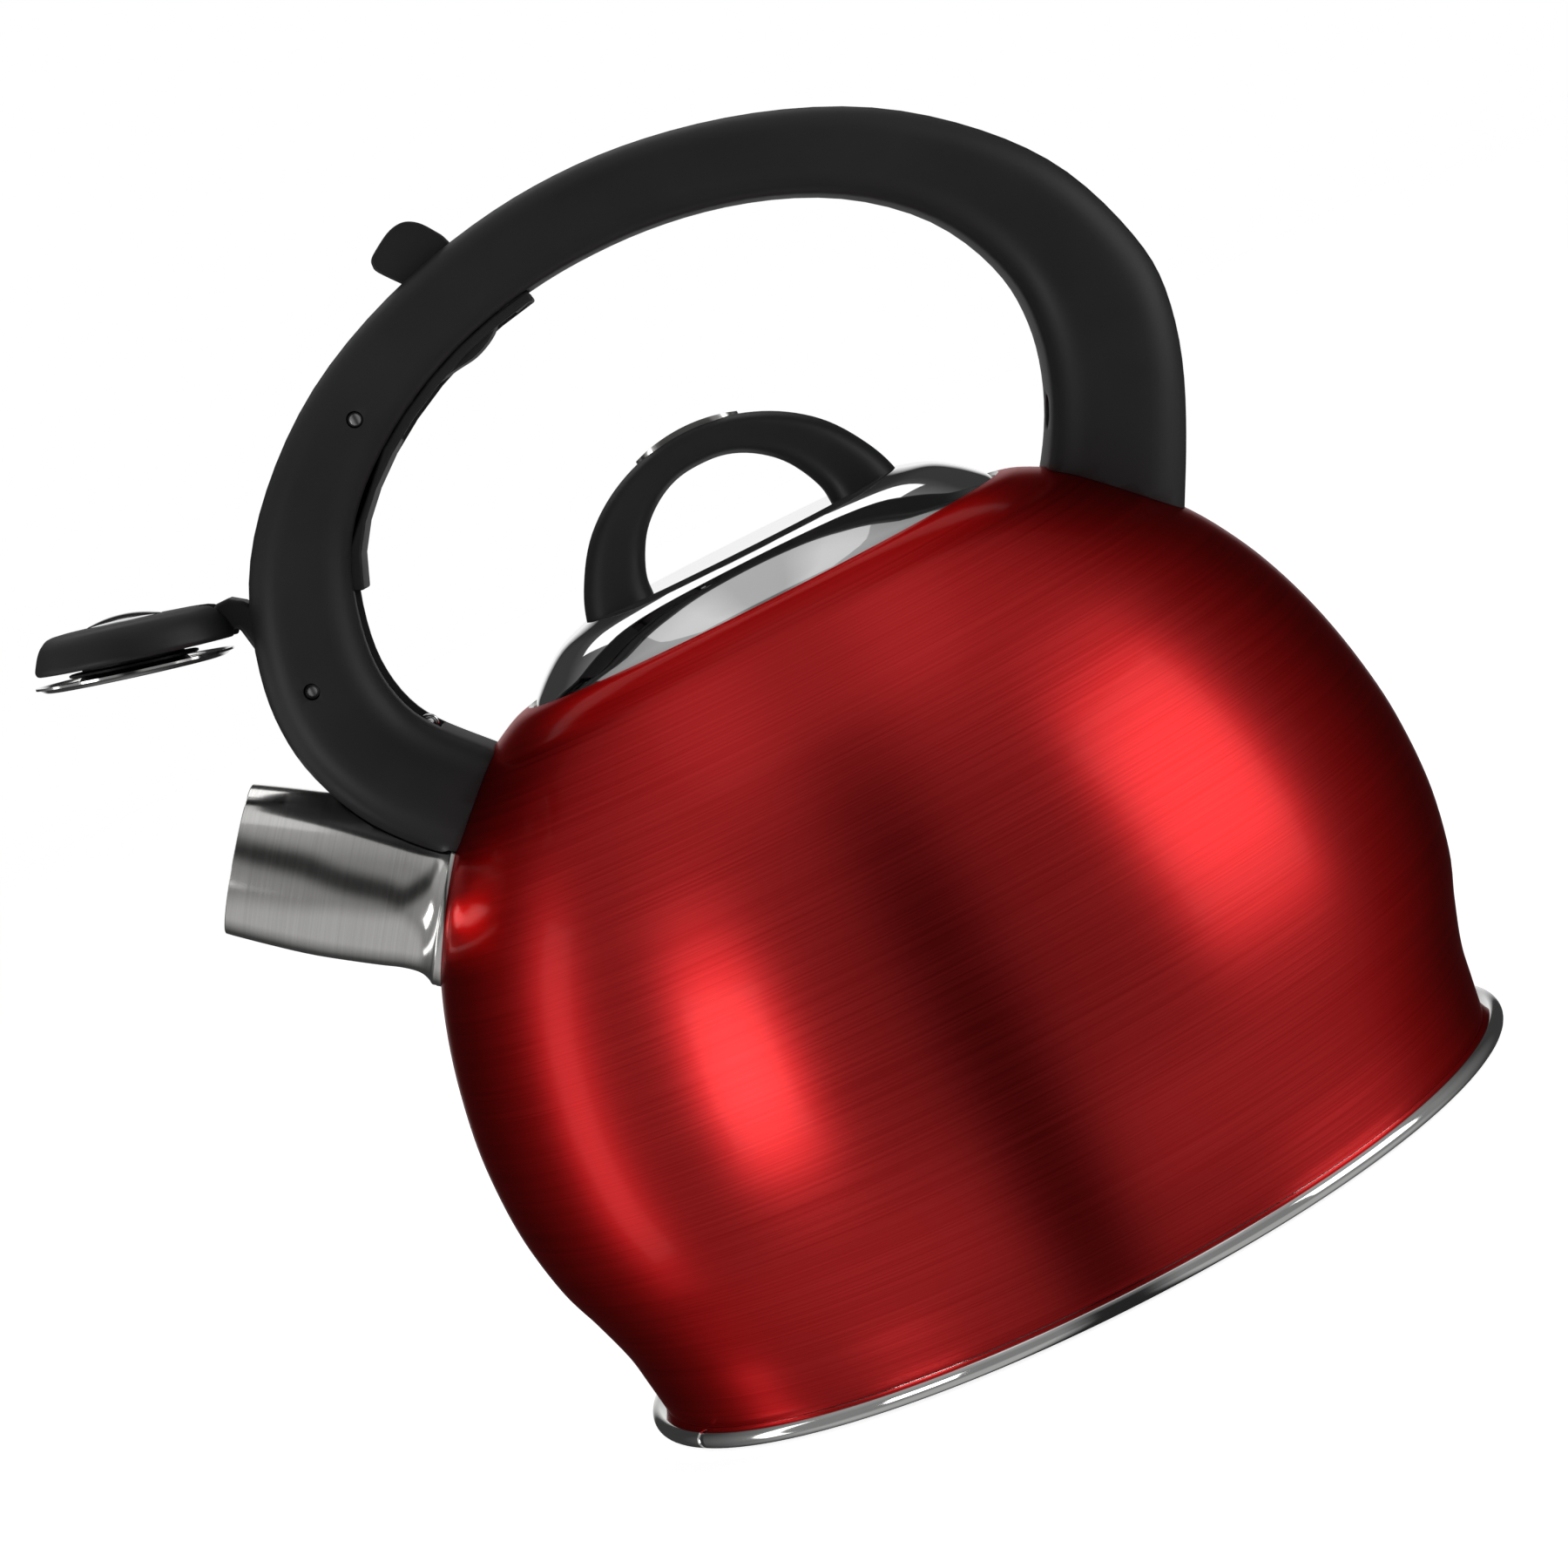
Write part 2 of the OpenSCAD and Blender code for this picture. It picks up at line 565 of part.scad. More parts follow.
lid_handle_count = len(lid_handle_outer);
module lid_handle() color(black) {
    w = [for (i = [0 : lid_handle_count - 1]) lid_handle_w - 3 * sin(180 * i / (lid_handle_count - 1))];
    n = [for (i = w) 3.2];
    difference() {
        arch(lid_handle_outer, lid_handle_inner, w, n, 20);
        rotate_extrude($fn = round_fn)
            polygon([[0, 130], [lid_flat_r + 5, 130], [lid_flat_r + 5, lid_top_z + seam],
                [lid_flat_r, lid_top_z + seam], [lid_dish_r, lid_dish_z + seam], [0, lid_dish_z + seam]]);
        lid_screw_places() translate([0, 0, 140]) cylinder(r = lid_screw_r, h = 12, $fn = small_fn);
        inlay_shape(0.06);
    }
}
inlay_r = 31.5;
inlay_z = 170.6;
// Arched plate with round ends that lies in the top of the lid handle
module inlay_shape(gap) {
    intersection() {
        slab(-20, 20) difference() {
            translate([0, inlay_z - inlay_r]) circle(r = inlay_r + gap, $fn = round_fn);
            translate([0, inlay_z - inlay_r]) circle(r = inlay_r - 1.9 - gap, $fn = round_fn);
        }
        translate([0, 0, 160]) linear_extrude(20) {
            for (x = [-5.2, 5.2]) translate([x, 0]) circle(r = 5.6 + gap, $fn = small_fn);
            square([10.4, 11.2 + 2 * gap], center = true);
        }
    }
}
module lid_handle_inlay() color(steel) inlay_shape(0);
module lid_washers() color(steel) {
    lid_screw_places() translate([0, 0, lid_slope_z - sheet_t - 1.5]) difference() {
        cylinder(r = 4, h = 0.8, $fn = small_fn);
        translate([0, 0, -over]) cylinder(r = lid_screw_r, h = 3, $fn = small_fn);
    }
}
module lid_screws() color(steel) {
    head_z = lid_slope_z - sheet_t - 1.5 - 1.9;
    lid_screw_places() {
        translate([0, 0, head_z]) difference() {
            cylinder(r = 2.9, h = 1.85, $fn = small_fn);
            for (turn = [0, 90])
                rotate([0, 0, turn]) translate([-1.7, -0.35, -over]) cube([3.4, 0.7, 1.9]);
        }
        translate([0, 0, head_z + 1.85]) cylinder(r = lid_screw_r, h = 9, $fn = small_fn);
    }
}

body_shell();
base_pan();
heat_disc();
base_capsule();
spout_tube();
handle_shell();
handle_inner_cover();
front_bracket();
rear_bracket();
handle_screws();
trigger_pin();
cap_pivot_pin();
spring_post();
return_spring();
trigger_lever();
cap_arm();
crank_pin();
whistle_cover();
cover_badge();
whistle_boss();
whistle_plate();
whistle_disc();
whistle_rivets();
lid_dome();
lid_skirt();
lid_handle();
lid_handle_inlay();
lid_washers();
lid_screws();
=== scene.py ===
import math

import bpy
from mathutils import Matrix, Vector


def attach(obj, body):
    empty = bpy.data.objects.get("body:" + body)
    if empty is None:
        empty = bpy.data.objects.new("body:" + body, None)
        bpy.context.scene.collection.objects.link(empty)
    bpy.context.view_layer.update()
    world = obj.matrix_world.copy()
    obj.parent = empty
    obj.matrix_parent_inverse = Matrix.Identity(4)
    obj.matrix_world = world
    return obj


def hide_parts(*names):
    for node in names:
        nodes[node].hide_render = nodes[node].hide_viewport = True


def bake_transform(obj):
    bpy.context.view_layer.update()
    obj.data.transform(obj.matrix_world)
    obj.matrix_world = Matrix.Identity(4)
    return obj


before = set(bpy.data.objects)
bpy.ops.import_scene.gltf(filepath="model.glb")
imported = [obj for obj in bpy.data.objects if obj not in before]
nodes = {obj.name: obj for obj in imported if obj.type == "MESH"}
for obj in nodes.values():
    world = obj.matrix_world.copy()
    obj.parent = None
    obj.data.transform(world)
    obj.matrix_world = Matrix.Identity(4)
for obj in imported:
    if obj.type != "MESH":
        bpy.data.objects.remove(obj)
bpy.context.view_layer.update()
mm = 0.001  # every length below is in millimetres
weldGap = 0.002  # points closer than this become one
fineSteps = 192  # steps round the large turned pieces
cutGap = 0.05  # clearance between a piece and the body it is cut to
boreGap = 0.06  # clearance round a hinge pin

# camera

cameraSettings = {
    "place": (0, -799.522, 172.244),
    "turn": (84.2659, 26.6253, -1.6324),
    "lens": 96.07,
}
bpy.ops.object.select_all(action="DESELECT")
bpy.ops.object.camera_add(
    location=Vector(cameraSettings["place"]) * mm,
    rotation=[math.radians(a) for a in cameraSettings["turn"]],
)
camera = bpy.context.object
camera.name = "camera"
camera.data.lens = cameraSettings["lens"]
camera.data.clip_start = 0.05
bpy.context.scene.camera = camera
bpy.context.scene.view_settings.view_transform = "Standard"
print("camera placed")


# curves and outlines

def smoothPath(points, steps):
    # Catmull-Rom path, with the given steps between each two points
    path = []
    last = len(points) - 1
    for i in range(last):
        a, b = Vector(points[max(i - 1, 0)]), Vector(points[i])
        c, d = Vector(points[i + 1]), Vector(points[min(i + 2, last)])
        for j in range(steps):
            t = j / steps
            path.append(0.5 * (2 * b + (c - a) * t + (2 * a - 5 * b + 4 * c - d) * t * t
                               + (3 * b - a - 3 * c + d) * t ** 3))
    path.append(Vector(points[last]))
    return path


def beside(path, distance):
    # the path moved to its right
    moved = []
    for i, p in enumerate(path):
        along = (path[min(i + 1, len(path) - 1)] - path[max(i - 1, 0)]).normalized()
        moved.append(p + Vector((along.y, -along.x)) * distance)
    return moved


def box(near, far, low, high):
    return [(near, low), (far, low), (far, high), (near, high)]


def onAxis(profile):
    return profile[0][0] == 0 and profile[-1][0] == 0


def capPoint(a, b):
    # cap coordinates to the side view of the kettle
    tilt = math.radians(capSettings["tilt"])
    x, z = capSettings["centre"]
    return (x + math.cos(tilt) * a + math.sin(tilt) * b, z - math.sin(tilt) * a + math.cos(tilt) * b)


# modelling steps

def beginPiece(name):
    # a small plane, open in edit mode with all of it selected
    bpy.ops.object.select_all(action="DESELECT")
    bpy.ops.mesh.primitive_plane_add(size=1 * mm)
    piece = bpy.context.object
    piece.name = name
    piece.data.name = name
    bpy.ops.object.mode_set(mode="EDIT")
    bpy.ops.mesh.select_all(action="SELECT")
    return piece


def moveBy(offset):
    bpy.ops.transform.translate(value=offset)


def faceOut():
    bpy.ops.mesh.select_all(action="SELECT")
    bpy.ops.mesh.normals_make_consistent(inside=False)


def settle():
    # makes the object's place, turn and scale part of its mesh
    bpy.ops.object.transform_apply(location=True, rotation=True, scale=True)


def smoothShade(angle):
    bpy.ops.object.shade_smooth_by_angle(angle=math.radians(angle))


def drawPath(points):
    # collapses the plane to one vertex and pulls it along the points
    bpy.ops.mesh.merge(type="CENTER")
    moveBy(points[0])
    for a, b in zip(points, points[1:]):
        bpy.ops.mesh.extrude_region_move(TRANSFORM_OT_translate={"value": b - a})


def closePiece(piece, smoothAngle=35):
    bpy.ops.object.mode_set(mode="OBJECT")
    smoothShade(smoothAngle)
    return piece


def spinRound(name, points, spot, axis, open, steps, smoothAngle):
    # a profile that ends on its axis stays open, and any other is a closed loop
    piece = beginPiece(name)
    drawPath(points if open else [*points, points[0]])
    bpy.ops.mesh.select_all(action="SELECT")
    bpy.ops.mesh.spin(steps=steps, angle=math.tau, center=spot, axis=axis)
    bpy.ops.mesh.select_all(action="SELECT")
    bpy.ops.mesh.remove_doubles(threshold=weldGap * mm)
    faceOut()
    return closePiece(piece, smoothAngle)


def turned(name, profile, place=(0, 0), tilt=0, steps=128, smoothAngle=35):
    # spins a profile of (radius, height) about an axis of the side view
    turn = Matrix.Rotation(math.radians(tilt), 4, "Y")
    spot = Vector((place[0], 0, place[1])) * mm
    points = [spot + turn @ Vector((p[0], 0, p[1])) * mm for p in profile]
    return spinRound(name, points, spot, turn @ Vector((0, 0, 1)), onAxis(profile), steps, smoothAngle)


def turnedAcross(name, profile, place, steps=48):
    # spins a profile of (radius, y) about an axis that runs across the kettle
    spot = Vector((place[0], 0, place[1])) * mm
    points = [spot + Vector((p[0], p[1], 0)) * mm for p in profile]
    return spinRound(name, points, spot, (0, 1, 0), onAxis(profile), steps, 35)


def slab(name, outline, nearY, farY, smoothAngle=35):
    # an outline of the side view, pulled across the kettle
    points = [Vector((p[0], nearY, p[1])) * mm for p in outline]
    piece = beginPiece(name)
    drawPath([*points, points[0]])
    bpy.ops.mesh.select_all(action="SELECT")
    bpy.ops.mesh.remove_doubles(threshold=weldGap * mm)
    bpy.ops.mesh.edge_face_add()
    bpy.ops.mesh.extrude_region_move(TRANSFORM_OT_translate={"value": (0, (farY - nearY) * mm, 0)})
    faceOut()
    return closePiece(piece, smoothAngle)


def swept(name, pairs, widths, corner, cornerSteps=5, steps=2, levels=1):
    # pulls a rounded section along pairs of outer and inner points
    outer = smoothPath([p[0] for p in pairs], steps)
    inner = smoothPath([p[1] for p in pairs], steps)
    count = len(outer)
    piece = beginPiece(name)
    start = (outer[0] - inner[0]).length
    bpy.ops.transform.resize(value=(start, widths(0), 1))
    bpy.ops.mesh.bevel(offset=corner * min(start, widths(0)) * mm, segments=cornerSteps,
                       affect="VERTICES", profile=0.5)
    centre, angle, thick, wide = Vector((0, 0, 0)), 0, start, widths(0)
    for i in range(count):
        spot = (outer[i] + inner[i]) / 2
        across = outer[i] - inner[i]
        newCentre = Vector((spot.x, 0, spot.y)) * mm
        newAngle = math.atan2(across.y, across.x)
        if i:
            bpy.ops.mesh.extrude_region_move(TRANSFORM_OT_translate={"value": newCentre - centre})
        else:
            moveBy(newCentre)
        bend = (newAngle - angle + math.pi) % math.tau - math.pi
        bpy.ops.transform.rotate(value=bend, orient_axis="Y", center_override=newCentre)
        c, s = math.cos(newAngle), math.sin(newAngle)
        newWide = widths(i / (count - 1))
        bpy.ops.transform.resize(value=(across.length / thick, newWide / wide, 1), orient_type="GLOBAL",
                                 orient_matrix=((c, 0, s), (0, 1, 0), (-s, 0, c)),
                                 orient_matrix_type="GLOBAL", center_override=newCentre)
        centre, angle, thick, wide = newCentre, newAngle, across.length, newWide
    faceOut()
    bpy.ops.object.mode_set(mode="OBJECT")
    finishWith(piece, "SUBSURF", levels=levels, render_levels=levels)
    smoothShade(50)
    return piece


def finishWith(piece, kind, **settings):
    bpy.ops.object.select_all(action="DESELECT")
    piece.select_set(True)
    bpy.context.view_layer.objects.active = piece
    modifier = piece.modifiers.new(kind.lower(), kind)
    for key, value in settings.items():
        setattr(modifier, key, value)
    bpy.ops.object.modifier_apply(modifier=modifier.name)
    return piece


def rounded(piece, width, segments=3, angle=30):
    finishWith(piece, "BEVEL", width=width * mm, segments=segments, limit_method="ANGLE",
               angle_limit=math.radians(angle), harden_normals=False)
    smoothShade(40)
    return piece


def carve(piece, cutter, operation="DIFFERENCE"):
    finishWith(piece, "BOOLEAN", operation=operation, object=cutter, solver="MANIFOLD")
    if not piece.data.polygons:
        print("nothing left of", piece.name, "after", cutter.name)
    bpy.data.objects.remove(cutter)
    return piece


def joined(name, parts):
    # one object from several that don't touch
    bpy.ops.object.select_all(action="DESELECT")
    for part in parts:
        part.select_set(True)
    bpy.context.view_layer.objects.active = parts[0]
    bpy.ops.object.join()
    parts[0].name = name
    parts[0].data.name = name
    return parts[0]


def pin(name, place, radius, nearY, farY, steps=32):
    return turnedAcross(name, box(0, radius, nearY, farY), place, steps)


def fit(piece, body, slotName, materials, *replaced):
    # the piece's finish, the body it moves with, and the CAD nodes that it stands for
    piece.data.materials.clear()
    for material in materials:
        piece.data.materials.append(material)
    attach(piece, body)
    if replaced:
        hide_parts(*replaced)
    return piece


# finishes

def nodeMaterial(name, **sockets):
    material = bpy.data.materials.new(name)
    material.use_nodes = True
    shader = material.node_tree.nodes["Principled BSDF"]
    for key, value in sockets.items():
        shader.inputs[key.replace("_", " ")].default_value = value
    return material, material.node_tree, shader


def addNode(tree, kind, **settings):
    node = tree.nodes.new(kind)
    for key, value in settings.items():
        setattr(node, key, value)
    return node


def grain(tree, scale, size=1, detail=3, roughness=0.55, turn=0):
    # noise on object coordinates, stretched by scale, after a turn in the side view
    place = addNode(tree, "ShaderNodeTexCoord")
    mapping = addNode(tree, "ShaderNodeMapping", vector_type="TEXTURE")
    mapping.inputs["Rotation"].default_value = (0, math.radians(turn), 0)
    mapping.inputs["Scale"].default_value = [1 / c for c in scale]
    noise = addNode(tree, "ShaderNodeTexNoise")
    noise.inputs["Scale"].default_value = size
    noise.inputs["Detail"].default_value = detail
    noise.inputs["Roughness"].default_value = roughness
    tree.links.new(place.outputs["Object"], mapping.inputs["Vector"])
    tree.links.new(mapping.outputs["Vector"], noise.inputs["Vector"])
    return noise.outputs["Fac"]


def ringGrain(tree, scale):
    # fine rings about an upright axis, for turned faces
    place = addNode(tree, "ShaderNodeTexCoord")
    mapping = addNode(tree, "ShaderNodeMapping")
    mapping.inputs["Scale"].default_value = (1, 1, 0)
    length = addNode(tree, "ShaderNodeVectorMath", operation="LENGTH")
    noise = addNode(tree, "ShaderNodeTexNoise", noise_dimensions="1D")
    noise.inputs["Scale"].default_value = scale
    noise.inputs["Detail"].default_value = 3
    tree.links.new(place.outputs["Object"], mapping.inputs["Vector"])
    tree.links.new(mapping.outputs["Vector"], length.inputs[0])
    tree.links.new(length.outputs["Value"], noise.inputs["W"])
    return noise.outputs["Fac"]


def ramp(tree, fac, low, high, start=0.3, stop=0.7):
    node = addNode(tree, "ShaderNodeValToRGB")
    ends = node.color_ramp.elements
    ends[0].position, ends[1].position = start, stop
    ends[0].color, ends[1].color = low, high
    tree.links.new(fac, node.inputs["Fac"])
    return node.outputs["Color"]


def spread(tree, fac, low, high, start=0.3, stop=0.7):
    node = addNode(tree, "ShaderNodeMapRange")
    for key, value in (("From Min", start), ("From Max", stop), ("To Min", low), ("To Max", high)):
        node.inputs[key].default_value = value
    tree.links.new(fac, node.inputs["Value"])
    return node.outputs["Result"]


def bump(tree, shader, height, strength, distance):
    node = addNode(tree, "ShaderNodeBump")
    node.inputs["Strength"].default_value = strength
    node.inputs["Distance"].default_value = distance
    tree.links.new(height, node.inputs["Height"])
    tree.links.new(node.outputs["Normal"], shader.inputs["Normal"])


def colourAndGloss(tree, shader, pattern, low, high, roughness, start=0.3, stop=0.7):
    # one pattern drives the colour and the roughness
    tree.links.new(ramp(tree, pattern, low, high, start, stop), shader.inputs["Base Color"])
    tree.links.new(spread(tree, pattern, *roughness), shader.inputs["Roughness"])


def darker(colour, share):
    return tuple(share * c for c in colour[:3]) + (1,)


def shineAlong(tree, shader, along):
    # the shine stretches across the brush lines
    node = addNode(tree, "ShaderNodeCombineXYZ")
    for axis, value in zip("XYZ", along):
        node.inputs[axis].default_value = value
    tree.links.new(node.outputs["Vector"], shader.inputs["Tangent"])


lacquerSettings = {
    "edge": (0.55, 0.03, 0.04, 1),
    "deep": (0.60, 0.022, 0.024, 1), "bright": (0.70, 0.034, 0.036, 1),
    "roughness": (0.33, 0.38), "anisotropy": 0.6, "brush": (14, 14, 3200),
}


def makeLacquer():
    s = lacquerSettings
    material, tree, shader = nodeMaterial("redLacquer", Metallic=1.0, Anisotropic=s["anisotropy"],
                                          Coat_Weight=0.12, Coat_Roughness=0.1, Coat_IOR=1.35,
                                          Specular_Tint=s["edge"])
    lines = grain(tree, s["brush"], 1, 4, 0.6)
    colourAndGloss(tree, shader, lines, s["deep"], s["bright"], s["roughness"], 0.36, 0.64)
    bump(tree, shader, lines, 0.05, 0.00004)
    shineAlong(tree, shader, (0, 0, 1))
    return material


def makeBrushed(name, colour, roughness, scale, anisotropy=0.6, strength=0.1, along=(0, 0, 1), turn=0):
    material, tree, shader = nodeMaterial(name, Metallic=1.0, Anisotropic=anisotropy)
    lines = grain(tree, scale, 1, 4, 0.6, turn)
    colourAndGloss(tree, shader, lines, darker(colour, 0.9), colour, roughness, 0.35, 0.65)
    bump(tree, shader, lines, strength, 0.00005)
    shineAlong(tree, shader, along)
    return material


def makeRinged(name, colour, roughness, scale):
    material, tree, shader = nodeMaterial(name, Metallic=1.0)
    lines = ringGrain(tree, scale)
    colourAndGloss(tree, shader, lines, darker(colour, 0.85), colour, roughness)
    bump(tree, shader, lines, 0.15, 0.00005)
    return material


def makeMirror(name, colour, roughness):
    material, tree, shader = nodeMaterial(name, Metallic=1.0)
    haze = grain(tree, (1, 1, 1), 45, 3)
    colourAndGloss(tree, shader, haze, darker(colour, 0.94), colour, roughness)
    bump(tree, shader, haze, 0.03, 0.0004)
    return material


def makePlastic(name, dark, light, roughness, grainSize, strength):
    material, tree, shader = nodeMaterial(name, IOR=1.47, Specular_IOR_Level=0.42)
    broad = grain(tree, (1, 1, 1), 30, 3)
    fine = grain(tree, (1, 1, 1), grainSize, 2)
    colourAndGloss(tree, shader, broad, dark, light, roughness)
    bump(tree, shader, fine, strength, 0.0001)
    return material


redLacquer = makeLacquer()
brushedSteel = makeBrushed("brushedSteel", (0.78, 0.77, 0.75, 1), (0.24, 0.36), (8, 8, 1300))
spoutSteel = makeBrushed("satinSpout", (0.86, 0.85, 0.83, 1), (0.15, 0.18), (18, 18, 2200), 0.4, 0.005,
                         (-0.8, 0, 0.6), 127)
mirrorSteel = makeMirror("mirrorSteel", (0.90, 0.90, 0.90, 1), (0.02, 0.05))
beadSteel = makeMirror("beadSteel", (0.84, 0.84, 0.83, 1), (0.06, 0.11))
baseSteel = makeRinged("ringedSteel", (0.66, 0.66, 0.65, 1), (0.26, 0.40), 900)
castAluminium = makeRinged("aluminiumDisc", (0.62, 0.62, 0.63, 1), (0.4, 0.52), 500)
softBlack = makePlastic("softBlack", (0.0095, 0.0095, 0.0105, 1), (0.014, 0.014, 0.0155, 1), (0.46, 0.56),
                        2600, 0.10)
discSteel = makeMirror("discSteel", (0.80, 0.80, 0.79, 1), (0.08, 0.14))
trimSteel = makeMirror("trimSteel", (0.62, 0.62, 0.63, 1), (0.08, 0.13))
pinSteel = makeMirror("pinSteel", (0.62, 0.62, 0.62, 1), (0.2, 0.3))
wireSteel = makeMirror("springWire", (0.7, 0.7, 0.7, 1), (0.16, 0.26))
print("finishes made")

# body

bodySettings = {
    "radius": 97.5, "height": 135.8, "sheet": 0.8, "neck": 49.35, "ledge": 133.95, "lip": 129.55,
    "lipRadius": 44.8, "hole": (13.8, 25, 65),
    "bareAbove": 80, "bareRim": 132.5,
    "shape": [(0.898, 0.026), (0.907, 0.074), (0.9185, 0.125), (0.9466, 0.19), (0.9757, 0.25),
              (0.9966, 0.335), (1, 0.42), (0.9908, 0.5), (0.963, 0.6), (0.923, 0.69), (0.871, 0.77),
              (0.799, 0.847), (0.677, 0.9375), (0.615, 0.969), (0.554, 0.992), (0.514, 1)],
}


def bodySide(steps):
    s = bodySettings
    return smoothPath([(q[0] * s["radius"], q[1] * s["height"]) for q in s["shape"]], steps)


def makeBody():
    s = bodySettings
    side = bodySide(5)
    inside = beside(side, -s["sheet"])
    neck = [(s["neck"], s["height"] - 0.5), (s["neck"], s["ledge"]), (s["lipRadius"] - s["sheet"], s["ledge"]),
            (s["lipRadius"] - s["sheet"], s["lip"]), (s["lipRadius"], s["lip"]),
            (s["lipRadius"], s["ledge"] - s["sheet"]), (s["neck"] + s["sheet"], s["ledge"] - s["sheet"])]
    piece = turned("kettleBody", [*side, *neck, *reversed(inside)], steps=fineSteps)
    carve(piece, spoutTurned("spoutHole", box(0, *s["hole"]), 64))
    fit(piece, "vessel", "lacquered_steel", [redLacquer, brushedSteel], "body_shell")
    for face in piece.data.polygons:  # the inside is bare steel
        out = Vector((face.center.x, face.center.y, 0)).normalized()
        inner = face.normal.dot(out) < -0.2 or face.normal.z < -0.3 and face.center.z > s["bareAbove"] * mm
        rim = face.center.z > s["bareRim"] * mm and Vector(face.center[:2]).length < (s["neck"] + 0.1) * mm
        face.material_index = 1 if inner or rim else 0


spoutSettings = {
    "angle": 37, "mouth": (-112.75, 134.7), "radius": 14.6, "wall": 0.8, "end": 48,
    "shape": [(0, 0), (9, 0.7), (18, 1.1), (29, 0.8), (34, 0.5), (37, 0.65), (38.6, 1.1), (39.8, 1.9),
              (40.5, 2.6), (41.5, 2.7), (48, 2.7)],
    "collar": 17.4, "collarSheet": 0.9, "collarEnds": (30, 48),
}


def spoutTurned(name, profile, steps=96):
    return turned(name, profile, spoutSettings["mouth"], 90 + spoutSettings["angle"], steps)


makeBody()
print("body turned")

# foot bead and spout

beadSettings = {"radius": 1.7, "ring": 89.2, "height": 2.0, "wall": 86.7, "panTop": 6.4, "panLow": 5.6,
                "flange": 9.4, "sheet": 0.8, "seamAt": 207, "seamGap": 0.35,
                "pan": [(82.7, 5.6), (86.2, 1.6)], "roll": (190, 476, 15), "rollEnd": 3.48,
                "seam": (88.6, 92, -1, 5)}


def makeBead():
    s = beadSettings
    edge = []
    for degrees in range(*s["roll"]):
        a = math.radians(degrees)
        edge.append((s["ring"] + s["radius"] * math.cos(a), s["height"] + s["radius"] * math.sin(a)))
    profile = [(0, s["panLow"]), *s["pan"], *edge, (s["wall"], s["rollEnd"]),
               (s["wall"], s["flange"]), (s["wall"] - s["sheet"], s["flange"]),
               (s["wall"] - s["sheet"], s["panTop"]), (0, s["panTop"])]
    piece = turned("footBead", profile, steps=fineSteps, smoothAngle=40)
    # the rolled bead is butted together on the spout side
    butt = slab("buttJoint", box(*s["seam"]), -s["seamGap"] / 2, s["seamGap"] / 2)
    bpy.ops.transform.rotate(value=-math.radians(s["seamAt"]), orient_axis="Z", center_override=(0, 0, 0))
    settle()
    carve(piece, butt)
    fit(piece, "vessel", "polished_steel", [beadSteel], "base_pan")


def bodyCutter(name, gap=cutGap):
    # everything inside the body's outer face, grown by a gap
    side = beside(bodySide(5), gap)
    return turned(name, [(0, side[0].y), *side, (0, side[-1].y)], steps=fineSteps)


def makeSpout():
    s = spoutSettings
    side = smoothPath([(s["radius"] + q[1], q[0]) for q in s["shape"]], 4)
    bore = smoothPath([(s["radius"] - s["wall"] + q[1], q[0]) for q in s["shape"][:5]], 4)
    low = bore[-1].x
    lip = [(s["radius"] - s["wall"] + 0.15, 0), (s["radius"] - 0.2, 0), (s["radius"] - 0.03, 0.15)]
    tube = spoutTurned("pouringSpout", [*lip, *side[1:], (low, s["end"]), *reversed(bore[1:])])
    carve(tube, bodyCutter("bodyInside"))
    collar = spoutTurned("spoutCollar", box(low - 0.1, s["collar"], *s["collarEnds"]))
    carve(collar, bodyCutter("collarTop", s["collarSheet"]), "INTERSECT")
    carve(collar, bodyCutter("collarBottom"))
    rounded(collar, 0.35, 2, 50)
    piece = joined("pouringSpout", [tube, collar])
    smoothShade(35)
    fit(piece, "vessel", "polished_steel", [spoutSteel], "spout_tube")


makeBead()
makeSpout()
print("bead and spout made")

# handle

